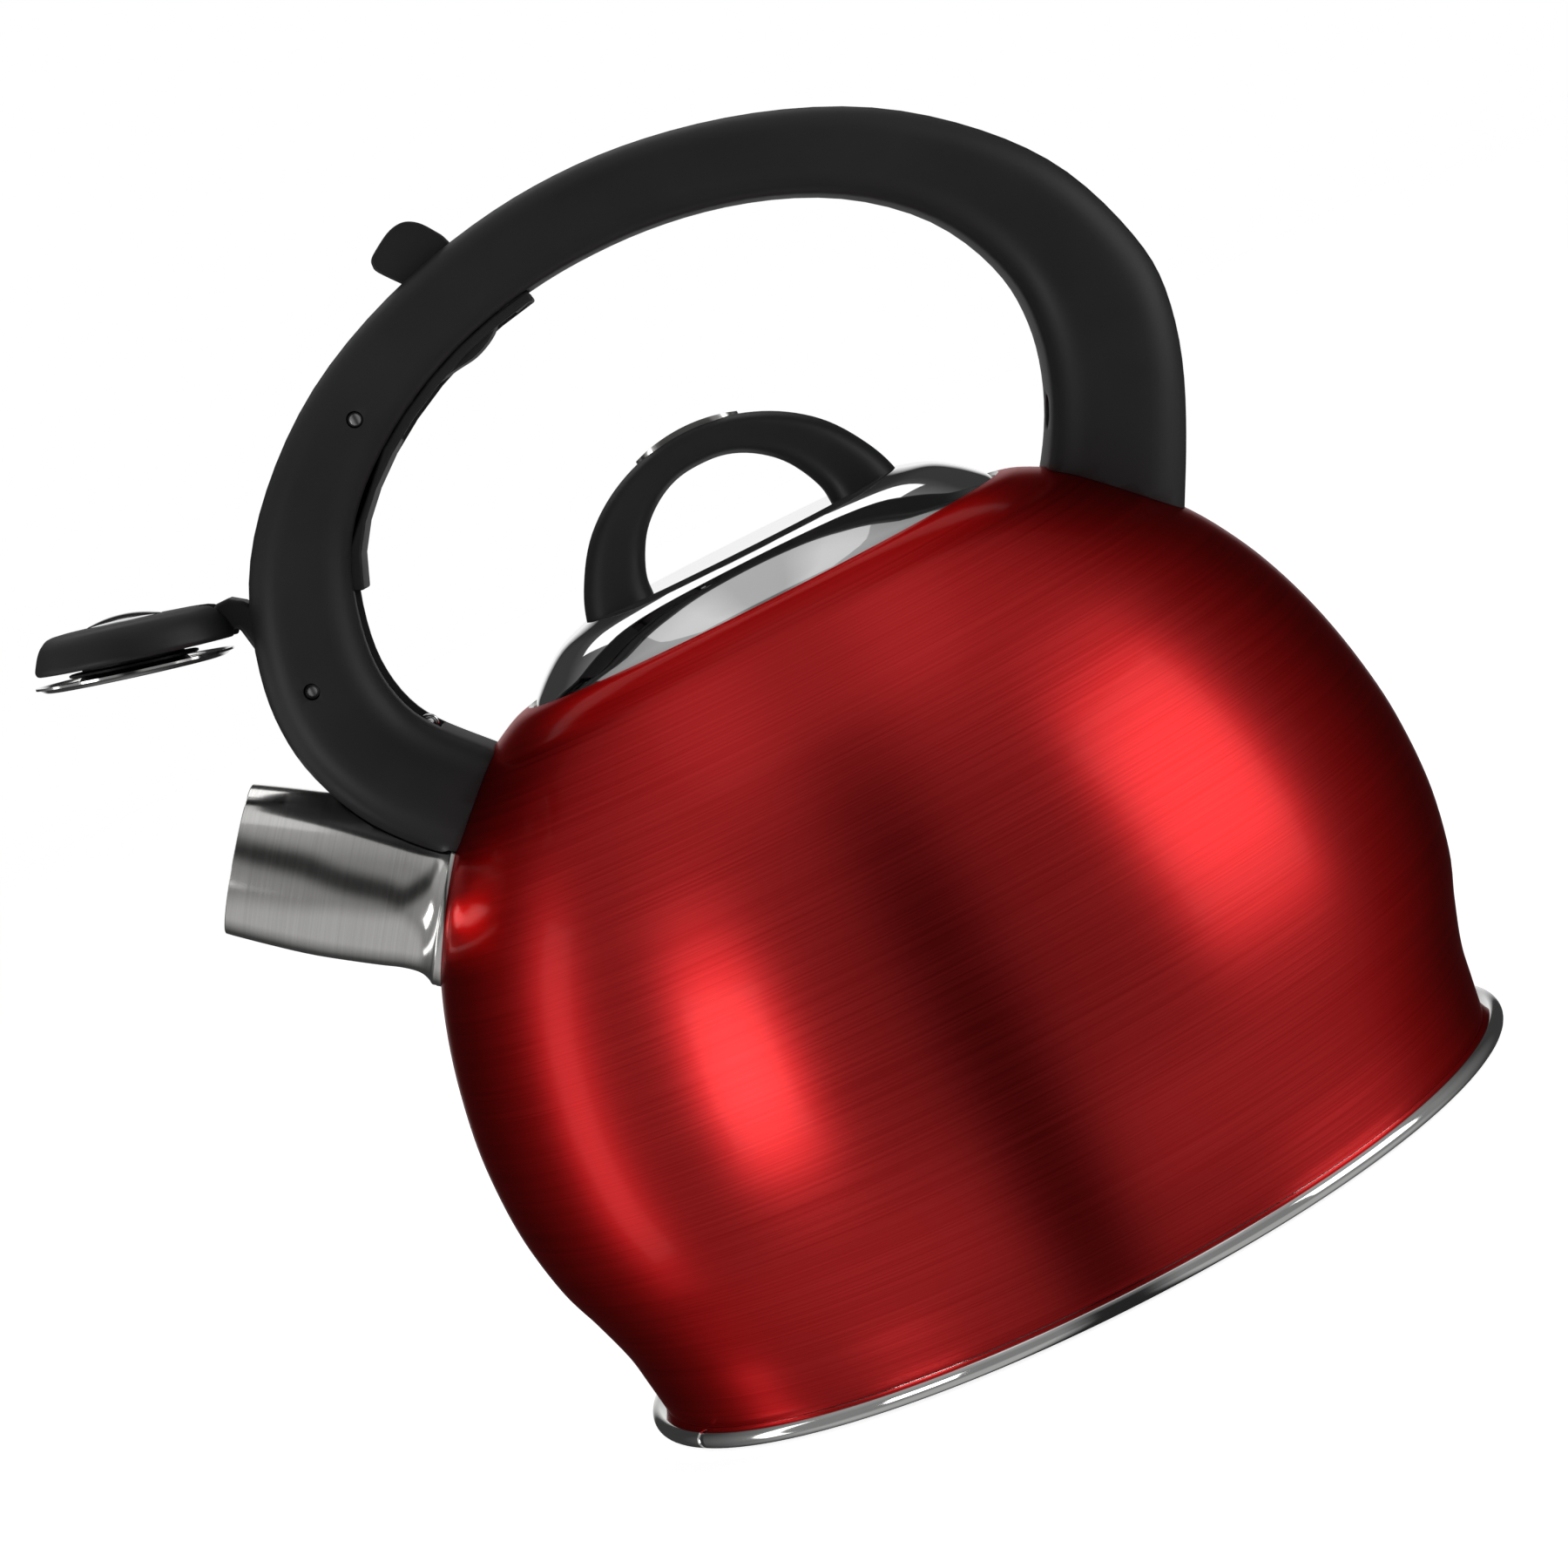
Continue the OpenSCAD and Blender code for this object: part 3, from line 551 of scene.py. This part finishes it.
handleSettings = {
    "pairs": [((-66, 107), (-50, 121)), ((-77, 118.5), (-58, 131)), ((-86.4, 129.4), (-64.6, 138.2)),
              ((-92.1, 142.3), (-69.6, 145)), ((-93.6, 153), (-71.8, 154)), ((-92.3, 164.5), (-70.9, 164)),
              ((-86.5, 180.8), (-66.5, 177)), ((-75.5, 194.8), (-58, 187.2)), ((-59, 207.9), (-45.5, 196)),
              ((-38.5, 216.9), (-30.5, 202.6)), ((-18, 221.8), (-14.5, 206.2)), ((0, 223.2), (0, 207.1)),
              ((18, 221.8), (14.5, 206.2)), ((38.5, 216.9), (30.5, 202.7)), ((59, 207.9), (47, 195.5)),
              ((75.5, 194.8), (60.5, 183.8)), ((86.5, 180.8), (67.2, 170.5)), ((92.5, 164), (68.5, 160.5)),
              ((93.4, 153), (67.2, 151)), ((90.4, 139.5), (63.4, 140.9)), ((84.5, 126), (57.5, 131.5)),
              ((79.2, 115.9), (50, 122)), ((74, 106), (44, 112))],
    "footWidth": 34, "topWidth": 27, "corner": 0.34,
    "capPivot": (-84.2, 157.2), "triggerPivot": (-53.95, 198.9), "pinRadius": 1.5,
    "channelHalf": 6.6, "channelWall": 3, "innerWall": 4, "coverHalf": 8.2, "coverDepth": 2,
    "coverFirst": 11, "coverLast": 20, "coverProud": 0.7,
    "channelFoot": ((-86, 138.2), (-66.4, 138.2)), "channelTop": ((-16.4, 217.5), (-16.4, 203)),
    "armSlot": (-100, -84, 151.5, 180), "armSlotHalf": 5.4,
    "thumbSlot": [(-36, 210), (-18.6, 210), (-18.6, 230), (-40.5, 230)],
    "fingerSlot": [(-48.5, 188), (-18.2, 196), (-18.2, 212), (-48.5, 203)],
    "spoutRoom": [(0, -2), (15, 0), (15.8, 10), (16.1, 18), (15.7, 29), (15.4, 34), (15.6, 37),
                  (16.1, 38.4), (17.4, 39.6), (17.7, 41), (17.7, 48), (0, 48)],
    "screws": [((-74.2, 138.2), (0.52, -0.854)), ((68.6, 139.8), (0.94, -0.342))],
    "screwRecess": (3.4, 0, 14), "capPinEnd": 14.0, "triggerPinEnd": 13.3,
}


def handleWidth(t):
    s = handleSettings
    return s["footWidth"] + (s["topWidth"] - s["footWidth"]) * math.sin(math.pi * t) ** 1.5


def makeHandle():
    s = handleSettings
    piece = swept("bridgeHandle", s["pairs"], handleWidth, s["corner"])
    outer = smoothPath([p[0] for p in s["pairs"]], 2)
    inner = smoothPath([p[1] for p in s["pairs"]], 2)
    channel = [s["channelFoot"][0], *beside(outer, s["channelWall"])[7:20], *s["channelTop"],
               *reversed(beside(inner, s["innerWall"])[6:20]), s["channelFoot"][1]]
    path = inner[s["coverFirst"]:s["coverLast"] + 1]
    groove = [*beside(path, -3), *reversed(beside(path, s["coverDepth"] + 0.1))]
    half = s["channelHalf"]
    carve(piece, bodyCutter("bodyInside"))
    carve(piece, slab("channel", channel, -half, half))
    carve(piece, slab("coverGroove", groove, -s["coverHalf"], s["coverHalf"]))
    carve(piece, slab("armSlot", box(*s["armSlot"]), -s["armSlotHalf"], s["armSlotHalf"]))
    carve(piece, slab("thumbSlot", s["thumbSlot"], -half, half))
    carve(piece, spoutTurned("spoutRoom", s["spoutRoom"]))
    for place in (s["capPivot"], s["triggerPivot"]):
        carve(piece, pin("pinHole", place, s["pinRadius"] + 0.12, -30, 30))
    for place, drive in s["screws"]:
        tilt = math.degrees(math.atan2(-drive[0], -drive[1]))
        carve(piece, turned("screwRecess", box(0, *s["screwRecess"]), place, tilt, 32))
    rounded(piece, 0.35, 2, 55)
    smoothShade(38)
    fit(piece, "vessel", "black_plastic", [softBlack], "handle_shell")


def makeInnerCover():
    # ends in a small step above the front foot
    s = handleSettings
    inner = smoothPath([p[1] for p in s["pairs"]], 2)
    path = inner[s["coverFirst"]:s["coverLast"] + 1]
    under = beside(path, -s["coverProud"])[:2] + beside(path, -0.05)[4:]
    band = [*under, *reversed(beside(path, s["coverDepth"]))]
    half = s["coverHalf"] - 0.1
    piece = rounded(slab("innerCover", band, -half, half, 50), 0.5, 3, 40)
    carve(piece, slab("fingerSlot", s["fingerSlot"], -s["channelHalf"], s["channelHalf"]))
    fit(piece, "vessel", "black_plastic", [softBlack], "handle_inner_cover")


def makePins():
    s = handleSettings
    r = s["pinRadius"]
    for name, place, end, node in (("capPin", s["capPivot"], s["capPinEnd"], "cap_pivot_pin"),
                                   ("triggerPin", s["triggerPivot"], s["triggerPinEnd"], "trigger_pin")):
        profile = [(0, -end), (r - 0.7, -end), (r - 0.15, -end + 0.25), (r, -end + 0.6),
                   (r, end - 0.6), (r - 0.15, end - 0.25), (r - 0.7, end), (0, end)]
        fit(turnedAcross(name, profile, place), "vessel", "polished_steel", [pinSteel], node)


makeHandle()
makeInnerCover()
makePins()
print("handle made")

# trigger

triggerSettings = {
    "paddle": [(-47, 198.4), (-44.6, 197.4), (-39.5, 198.0), (-33.6, 199), (-28.9, 199.6), (-24.7, 201.4),
               (-22.1, 203.7), (-20.9, 206.2), (-21.4, 212), (-22.6, 218)],
    "thumb": [(-24.2, 222.8), (-26.5, 226.1), (-28.6, 227.7), (-30.7, 228.1), (-33.2, 227.5), (-36.4, 225.7),
              (-38.0, 224.5), (-38.4, 223.3), (-38.0, 221.7), (-34.8, 217.6)],
    "root": [(-34.6, 213.2), (-46, 208.6), (-56.6, 203), (-57.5, 197), (-51.5, 195.6)],
    "half": 6, "hub": 4.2, "tail": [(-64, 191.8), (-72, 181.8), (-77, 170.5)], "tailHalf": 2.5,
    "tailNear": 1, "tailFar": 4.2, "crank": (-79.51, 158.93), "crankRadius": 1.2, "edge": 1.5,
    "hubEnd": 5.9, "tailEnd": 2.8, "slotClearance": 0.3, "slotBack": 1.6, "slotFront": 7,
}


def makeTrigger():
    s = triggerSettings
    pivot = handleSettings["triggerPivot"]
    head = [*smoothPath(s["paddle"], 4), *smoothPath(s["thumb"], 4), *s["root"]]
    piece = rounded(slab("triggerLever", head, -s["half"], s["half"], 50), s["edge"], 4, 60)
    path = smoothPath([pivot, *s["tail"], s["crank"]], 5)
    band = [*beside(path, s["tailHalf"]), *reversed(beside(path, -s["tailHalf"]))]
    carve(piece, slab("triggerTail", band, s["tailNear"], s["tailFar"]), "UNION")
    near, far = s["tailNear"] + cutGap, s["tailFar"] - cutGap
    carve(piece, pin("tailEnd", s["crank"], s["tailEnd"], near, far, 48), "UNION")
    carve(piece, pin("triggerHub", pivot, s["hub"], -s["hubEnd"], s["hubEnd"], 48), "UNION")
    carve(piece, pin("triggerBore", pivot, handleSettings["pinRadius"] + boreGap, -20, 20))
    crank = Vector(s["crank"])
    along = (crank - Vector(pivot)).normalized()
    across = Vector((-along.y, along.x)) * (s["crankRadius"] + s["slotClearance"])
    back, front = crank - along * s["slotBack"], crank + along * s["slotFront"]
    carve(piece, slab("forkSlot", [back + across, front + across, front - across, back - across], 0, 6))
    fit(piece, "trigger", "black_plastic", [softBlack], "trigger_lever")


makeTrigger()
print("trigger made")

# whistle cap

capSettings = {
    "centre": (-113.65, 176.2), "tilt": 14.5, "coverShift": 1.2,
    "cover": [(0, 9.2), (8, 9.15), (15.2, 8.85), (17.4, 7.7), (18.6, 6.1), (19.4, 4.2), (19.8, 2.9),
              (19.55, 2.2), (19.2, 2)],
    "coverWall": 1.6, "coverMouth": (17.6, 2), "armMouth": (14, 26, 1, 14),
    "badge": 7.4, "badgeSeat": (8.3, 12), "badgeRise": 1.3, "badgeBase": 9.2, "badgeFoot": 8.55,
    "disc": [(1.5, 0.45), (9.6, 0.45), (10.2, 0.3), (11.2, -0.6), (11.8, -0.8), (17, -0.8), (17.6, -0.55),
             (18.4, -0.05), (19.2, 0), (19.2, -0.45), (18.5, -0.5), (17.7, -1.1), (17.2, -1.3),
             (11.6, -1.3), (10.9, -1.05), (9.9, -0.1), (1.5, -0.05)],
    "boss": [(4, 0.5), (12.1, 0.5), (12.5, 0.65), (12.5, 1.05), (12.1, 1.2), (10.2, 1.2), (9.9, 1.4),
             (9.9, 3.15), (5, 3.15), (5, 2.3), (4, 2.3)],
    "rivet": 0.9, "rivetAcross": 6.5, "armHalf": 4.4,
    "arm": [(2, 3.2), (21.4, 3.2), (23.4, -1.3), (28.6, -9.5), (36.6, -7.5), (31.5, 0.5), (24.6, 7),
            (23.3, 8.1), (20.6, 9.2), (18.2, 8.6), (15, 5.2), (2, 5.2)],
    "hubRoom": (10, 0.5, 8), "pad": (9, 3.25, 5.15), "hub": (4.4, -5.6, 0.45),
    "hook": (-84.2, 148), "lug": 2.4, "lugChamfer": 1.7, "lugTop": 8, "hookPin": (1, -4, 5),
    "crank": (-79.51, 158.93), "crankLug": (2.6, -4.35, 0.42),
}


def capTurned(name, profile, shift=0, steps=96, smoothAngle=35):
    return turned(name, profile, capPoint(shift, 0), capSettings["tilt"], steps, smoothAngle)


def makeCover():
    s = capSettings
    cover = smoothPath(s["cover"], 3)
    inside = beside(cover[:-4], s["coverWall"])
    inside[0].x = 0
    piece = capTurned("whistleCover", [*cover, s["coverMouth"], *reversed(inside)], s["coverShift"])
    mouth = [capPoint(*q) for q in box(*s["armMouth"])]
    carve(piece, slab("armMouth", mouth, -s["armHalf"] - 0.15, s["armHalf"] + 0.15))
    carve(piece, capTurned("badgeSeat", box(0, s["badge"] + 0.1, *s["badgeSeat"])))
    fit(piece, "whistle_cap", "black_plastic", [softBlack], "whistle_cover")


def makeBadge():
    s = capSettings
    edge, rise, base, foot = s["badge"], s["badgeRise"], s["badgeBase"], s["badgeFoot"]
    dome = (edge ** 2 + rise ** 2) / (2 * rise)
    arc = [(dome * math.sin(a), base + rise - dome + dome * math.cos(a))
           for a in [i / 10 * math.asin((edge - 0.35) / dome) for i in range(11)]]
    side = [(edge - 0.1, base - 0.05), (edge, base - 0.25), (edge, foot), (0, foot)]
    fit(capTurned("coverBadge", arc + side), "whistle_cap", "polished_steel", [trimSteel], "cover_badge")


def makeDisc():
    s = capSettings
    piece = capTurned("whistleDisc", s["disc"], smoothAngle=50)
    for across in (-s["rivetAcross"], s["rivetAcross"]):
        hole = capTurned("rivetHole", box(0, s["rivet"] + 0.02, -2, 2), steps=24)
        moveBy((0, across * mm, 0))
        settle()
        carve(piece, hole)
    fit(piece, "whistle_cap", "polished_steel", [discSteel], "whistle_disc")
    fit(capTurned("whistleBoss", s["boss"]), "whistle_cap", "black_plastic", [softBlack], "whistle_boss")


def makeArm():
    # the plate, then the lugs that are added to it, then its bore
    s = capSettings
    pivot = handleSettings["capPivot"]
    arm = rounded(slab("capArm", [capPoint(*q) for q in s["arm"]], -s["armHalf"], s["armHalf"], 50), 0.7, 3, 40)
    x, z = s["hook"]
    r, c = s["lug"], s["lugChamfer"]
    lug = [(x - r, z), (x - c, z - c), (x, z - r), (x + c, z - c), (x + r, z), (x + r, z + s["lugTop"]),
           (x - r, z + s["lugTop"])]
    carve(arm, pin("hubRoom", pivot, *s["hubRoom"], 48))
    carve(arm, capTurned("armPad", box(0, *s["pad"])), "UNION")
    carve(arm, pin("armHub", pivot, *s["hub"], 48), "UNION")
    carve(arm, slab("hookLug", lug, -4.3, 0.4), "UNION")
    carve(arm, pin("crankLug", s["crank"], *s["crankLug"], 48), "UNION")
    carve(arm, pin("hookPin", s["hook"], *s["hookPin"], 48), "UNION")
    carve(arm, pin("armBore", pivot, handleSettings["pinRadius"] + boreGap, -20, 20))
    fit(arm, "whistle_cap", "black_plastic", [softBlack], "cap_arm")


makeCover()
makeBadge()
makeDisc()
makeArm()
print("whistle cap made")

# closing spring

springSettings = {"hook": (-84.2, 148), "post": (-68.8, 141.3), "side": 2.75, "coil": 1.65, "wire": 0.35,
                  "loop": 1.65, "turns": 14, "section": 10, "turnSteps": 24}


def makeSpring():
    s = springSettings
    hook, post = Vector(s["hook"]), Vector(s["post"])
    run = post - hook
    length = run.length - 2 * s["loop"]
    bpy.ops.object.select_all(action="DESELECT")
    bpy.ops.mesh.primitive_circle_add(vertices=s["section"], radius=s["wire"] * mm,
                                      rotation=(math.pi / 2, 0, 0), location=(s["coil"] * mm, 0, 0))
    coil = bpy.context.object
    coil.name = "closingSpring"
    settle()
    finishWith(coil, "SCREW", angle=math.tau * s["turns"], screw_offset=length * mm, axis="Z",
               steps=s["turnSteps"] * s["turns"], render_steps=s["turnSteps"] * s["turns"])
    coil.rotation_euler = (0, math.pi / 2 - math.atan2(run.y, run.x), 0)
    spot = hook + run.normalized() * s["loop"]
    coil.location = Vector((spot.x, s["side"], spot.y)) * mm
    settle()
    loops = []
    for place in (hook, post):
        section = [(s["loop"] + s["wire"] * math.cos(a), s["side"] + s["wire"] * math.sin(a))
                   for a in [math.tau * i / s["section"] for i in range(s["section"])]]
        loops.append(turnedAcross("springLoop", section, place))
    piece = joined("closingSpring", [coil, *loops])
    bpy.ops.object.mode_set(mode="EDIT")
    faceOut()
    closePiece(piece, 60)
    piece.data.materials.clear()
    piece.data.materials.append(wireSteel)
    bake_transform(piece)
    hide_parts("return_spring")


makeSpring()
print("spring wound")

# lid

lidSettings = {
    "side": [(48.9, 134.8), (47.6, 136.9), (43.6, 140.5), (39.1, 143.4), (33.6, 145.3)],
    "edge": 134.3, "edgeRadius": 48.7, "under": 47.3, "sheet": 0.8, "dish": 19, "dishHeight": 144.3,
    "topRadius": 33.2, "top": 145.3, "skirt": 43.4, "skirtLow": 128.05, "flange": 47.2, "flangeTop": 134.9,
    "screw": 26, "screwHole": (1.6, 135, 155),
    "knob": [((-33.2, 142), (-19.2, 141)), ((-32.9, 145), (-19, 144.4)), ((-30.8, 150.7), (-18.5, 148.6)),
             ((-25.5, 158.8), (-15.2, 155)), ((-18, 164.7), (-10.6, 159.3)), ((-9.1, 168.3), (-5.4, 161.8)),
             ((0, 169.5), (0, 162.4))],
    "knobFoot": 19, "knobTop": 16, "knobCorner": 0.36, "knobGap": 0.03,
    "inlayLength": 21.6, "inlayWidth": 11.2, "inlayRadius": 31.5, "inlayTop": 170.2, "inlayDepth": 1.6,
}


def lidSide():
    return smoothPath(lidSettings["side"], 6)


def makeLid():
    s = lidSettings
    side = lidSide()
    inside = beside(side[1:-1], -s["sheet"])
    floor = s["dishHeight"] - s["sheet"]
    profile = [(s["edgeRadius"], s["edge"]), (s["edgeRadius"] + 0.2, s["edge"] + 0.15), *side,
               (s["topRadius"], s["top"]), (s["dish"], s["dishHeight"]), (0, s["dishHeight"]), (0, floor),
               (s["dish"], floor), (s["topRadius"], s["top"] - s["sheet"] - 0.2),
               *reversed(inside), (s["under"], s["edge"])]
    piece = turned("lidDome", profile, steps=fineSteps, smoothAngle=30)
    for x in (-s["screw"], s["screw"]):
        carve(piece, turned("screwHole", box(0, *s["screwHole"]), (x, 0), 0, 24))
    fit(piece, "lid", "polished_steel", [mirrorSteel], "lid_dome")
    skirt = [(s["skirt"], s["skirtLow"]), (s["skirt"], s["edge"]), (s["flange"], s["edge"]),
             (s["flange"], s["flangeTop"]), (s["skirt"] - s["sheet"], s["flangeTop"]),
             (s["skirt"] - s["sheet"], s["skirtLow"])]
    fit(turned("lidSkirt", skirt, steps=128), "lid", "brushed_steel", [brushedSteel], "lid_skirt")


def knobWidth(t):
    s = lidSettings
    return s["knobFoot"] + (s["knobTop"] - s["knobFoot"]) * math.sin(math.pi * t)


def inlayShape(name, gap):
    # a round-ended strip that follows the top of the knob
    s = lidSettings
    strip = beginPiece(name)
    bpy.ops.transform.resize(value=(s["inlayLength"] + 2 * gap, s["inlayWidth"] + 2 * gap, 1))
    bpy.ops.mesh.bevel(offset=(s["inlayWidth"] / 2 + gap - 0.01) * mm, segments=10,
                       affect="VERTICES", profile=0.5)
    moveBy((0, 0, 160 * mm))
    bpy.ops.mesh.extrude_region_move(TRANSFORM_OT_translate={"value": (0, 0, 20 * mm)})
    faceOut()
    closePiece(strip)
    top = s["inlayRadius"] + gap
    low = s["inlayRadius"] - s["inlayDepth"]
    half = s["inlayWidth"]
    ring = turnedAcross(name + "Ring", box(low, top, -half, half), (0, s["inlayTop"] - s["inlayRadius"]), 360)
    return carve(strip, ring, "INTERSECT")


def makeKnob():
    s = lidSettings
    pairs = s["knob"] + [((-o[0], o[1]), (-i[0], i[1])) for o, i in reversed(s["knob"][:-1])]
    gap = s["knobGap"]
    piece = swept("lidKnob", pairs, knobWidth, s["knobCorner"], steps=3)
    carve(piece, inlayShape("inlaySeat", gap))
    # the feet end on the lid
    below = [(0, 120), (60, 120), (60, 134), *beside(lidSide(), gap), (s["dish"], s["dishHeight"] + gap),
             (0, s["dishHeight"] + gap)]
    carve(piece, turned("lidBelow", below, steps=128))
    smoothShade(38)
    fit(piece, "lid", "black_plastic", [softBlack], "lid_handle")
    inlay = rounded(inlayShape("knobInlay", 0), 0.45, 3, 50)
    fit(inlay, "lid", "polished_steel", [brushedSteel], "lid_handle_inlay")


makeLid()
makeKnob()
print("lid made")

# floor, light

floorSettings = {"radius": 6, "height": -0.0002, "glow": 0.78,
                 "tone": ((0.90, 0.90, 0.90, 1), (0.92, 0.92, 0.92, 1))}


def makeStage():
    s = floorSettings
    bpy.ops.object.select_all(action="DESELECT")
    bpy.ops.mesh.primitive_circle_add(vertices=96, radius=s["radius"], fill_type="NGON",
                                      location=(0, 0, s["height"]))
    floor = bpy.context.object
    floor.name = "floor"
    settle()
    material, tree, shader = nodeMaterial("paleFloor", Roughness=0.9, Specular_IOR_Level=0.1)
    tone = grain(tree, (1, 1, 1), 3, 2)
    tree.links.new(ramp(tree, tone, *s["tone"]), shader.inputs["Base Color"])
    shader.inputs["Emission Color"].default_value = (1, 1, 1, 1)
    shader.inputs["Emission Strength"].default_value = s["glow"]
    floor.data.materials.append(material)
    floor.visible_glossy = False


lightSettings = {  # azimuth from the camera side, height, distance, width, tall, watts
    "leftKey": (-50, 150, 1150, 380, 560, 2.6),
    "rightKey": (68, 280, 1150, 760, 860, 4.1),
    "leftEdge": (-96, 150, 1150, 200, 1100, 1.1),
    "overhead": (0, 1300, 10, 1200, 1200, 1.2),
    "backTop": (180, 1150, 900, 1300, 600, 2.6),
}


def makeLights():
    aim = Vector((0, 0, 100)) * mm
    for name, (azimuth, height, distance, width, tall, watts) in lightSettings.items():
        a = math.radians(azimuth)
        place = Vector((math.sin(a) * distance, -math.cos(a) * distance, height)) * mm
        bpy.ops.object.light_add(type="AREA", location=place)
        light = bpy.context.object
        light.name = name
        light.rotation_euler = (aim - place).to_track_quat("-Z", "Y").to_euler()
        light.data.shape = "RECTANGLE"
        light.data.size, light.data.size_y = width * mm, tall * mm
        light.data.energy = watts
        light.visible_camera = False


worldSettings = {"seen": 1.0, "low": 0.02, "sides": 0.21, "high": 0.20, "lowSides": 0.9,
                 "frontGap": (0.10, 0.26), "behind": (0.15, 0.75), "above": (0.45, 0.95),
                 "below": (-0.40, -0.62), "farWall": (0.95, 0.985), "farTone": 0.9, "behindTone": 0.1}


def combine(tree, operation, first, second):
    node = addNode(tree, "ShaderNodeMath", operation=operation)
    tree.links.new(first, node.inputs[0])
    tree.links.new(second, node.inputs[1])
    return node.outputs["Value"]


def makeWorld():
    # a white room to the camera; to the reflections, pale walls at the sides and a pale ceiling
    s = worldSettings
    world = bpy.data.worlds.new("studio")
    bpy.context.scene.world = world
    world.use_nodes = True
    tree = world.node_tree
    background = tree.nodes["Background"]
    output = tree.nodes["World Output"]
    place = addNode(tree, "ShaderNodeTexCoord")
    parts = addNode(tree, "ShaderNodeSeparateXYZ")
    tree.links.new(place.outputs["Generated"], parts.inputs["Vector"])
    away = addNode(tree, "ShaderNodeMath", operation="ABSOLUTE")
    tree.links.new(parts.outputs["X"], away.inputs[0])
    walls = spread(tree, away.outputs["Value"], 0, s["sides"], *s["frontGap"])
    farWall = spread(tree, parts.outputs["Y"], 0, s["farTone"], *s["farWall"])
    notBehind = spread(tree, parts.outputs["Y"], 1, s["behindTone"], *s["behind"])
    lower = spread(tree, parts.outputs["Z"], 1, 1 + s["lowSides"], *s["below"])
    ceiling = spread(tree, parts.outputs["Z"], s["low"], s["high"], *s["above"])
    sideTone = combine(tree, "MULTIPLY", combine(tree, "MULTIPLY", walls, notBehind), lower)
    tone = combine(tree, "ADD", combine(tree, "ADD", sideTone, ceiling), farWall)
    tree.links.new(tone, background.inputs["Strength"])
    seen = addNode(tree, "ShaderNodeBackground")
    seen.inputs["Color"].default_value = (1, 1, 1, 1)
    seen.inputs["Strength"].default_value = s["seen"]
    background.inputs["Color"].default_value = (1, 1, 1, 1)
    path = addNode(tree, "ShaderNodeLightPath")
    mix = addNode(tree, "ShaderNodeMixShader")
    tree.links.new(path.outputs["Is Camera Ray"], mix.inputs["Fac"])
    tree.links.new(background.outputs["Background"], mix.inputs[1])
    tree.links.new(seen.outputs["Background"], mix.inputs[2])
    tree.links.new(mix.outputs["Shader"], output.inputs["Surface"])


makeStage()
makeLights()
makeWorld()
print("studio lit")

# CAD nodes that keep their shape

keptFinishes = {
    "heat_disc": castAluminium, "base_capsule": baseSteel, "front_bracket": brushedSteel,
    "rear_bracket": brushedSteel, "handle_screws": pinSteel, "spring_post": pinSteel,
    "crank_pin": pinSteel, "whistle_plate": discSteel,
    "whistle_rivets": discSteel, "lid_washers": softBlack, "lid_screws": pinSteel,
}
for name, material in keptFinishes.items():
    data = nodes[name].data
    data.materials.clear()
    data.materials.append(material)
print("kept nodes finished")
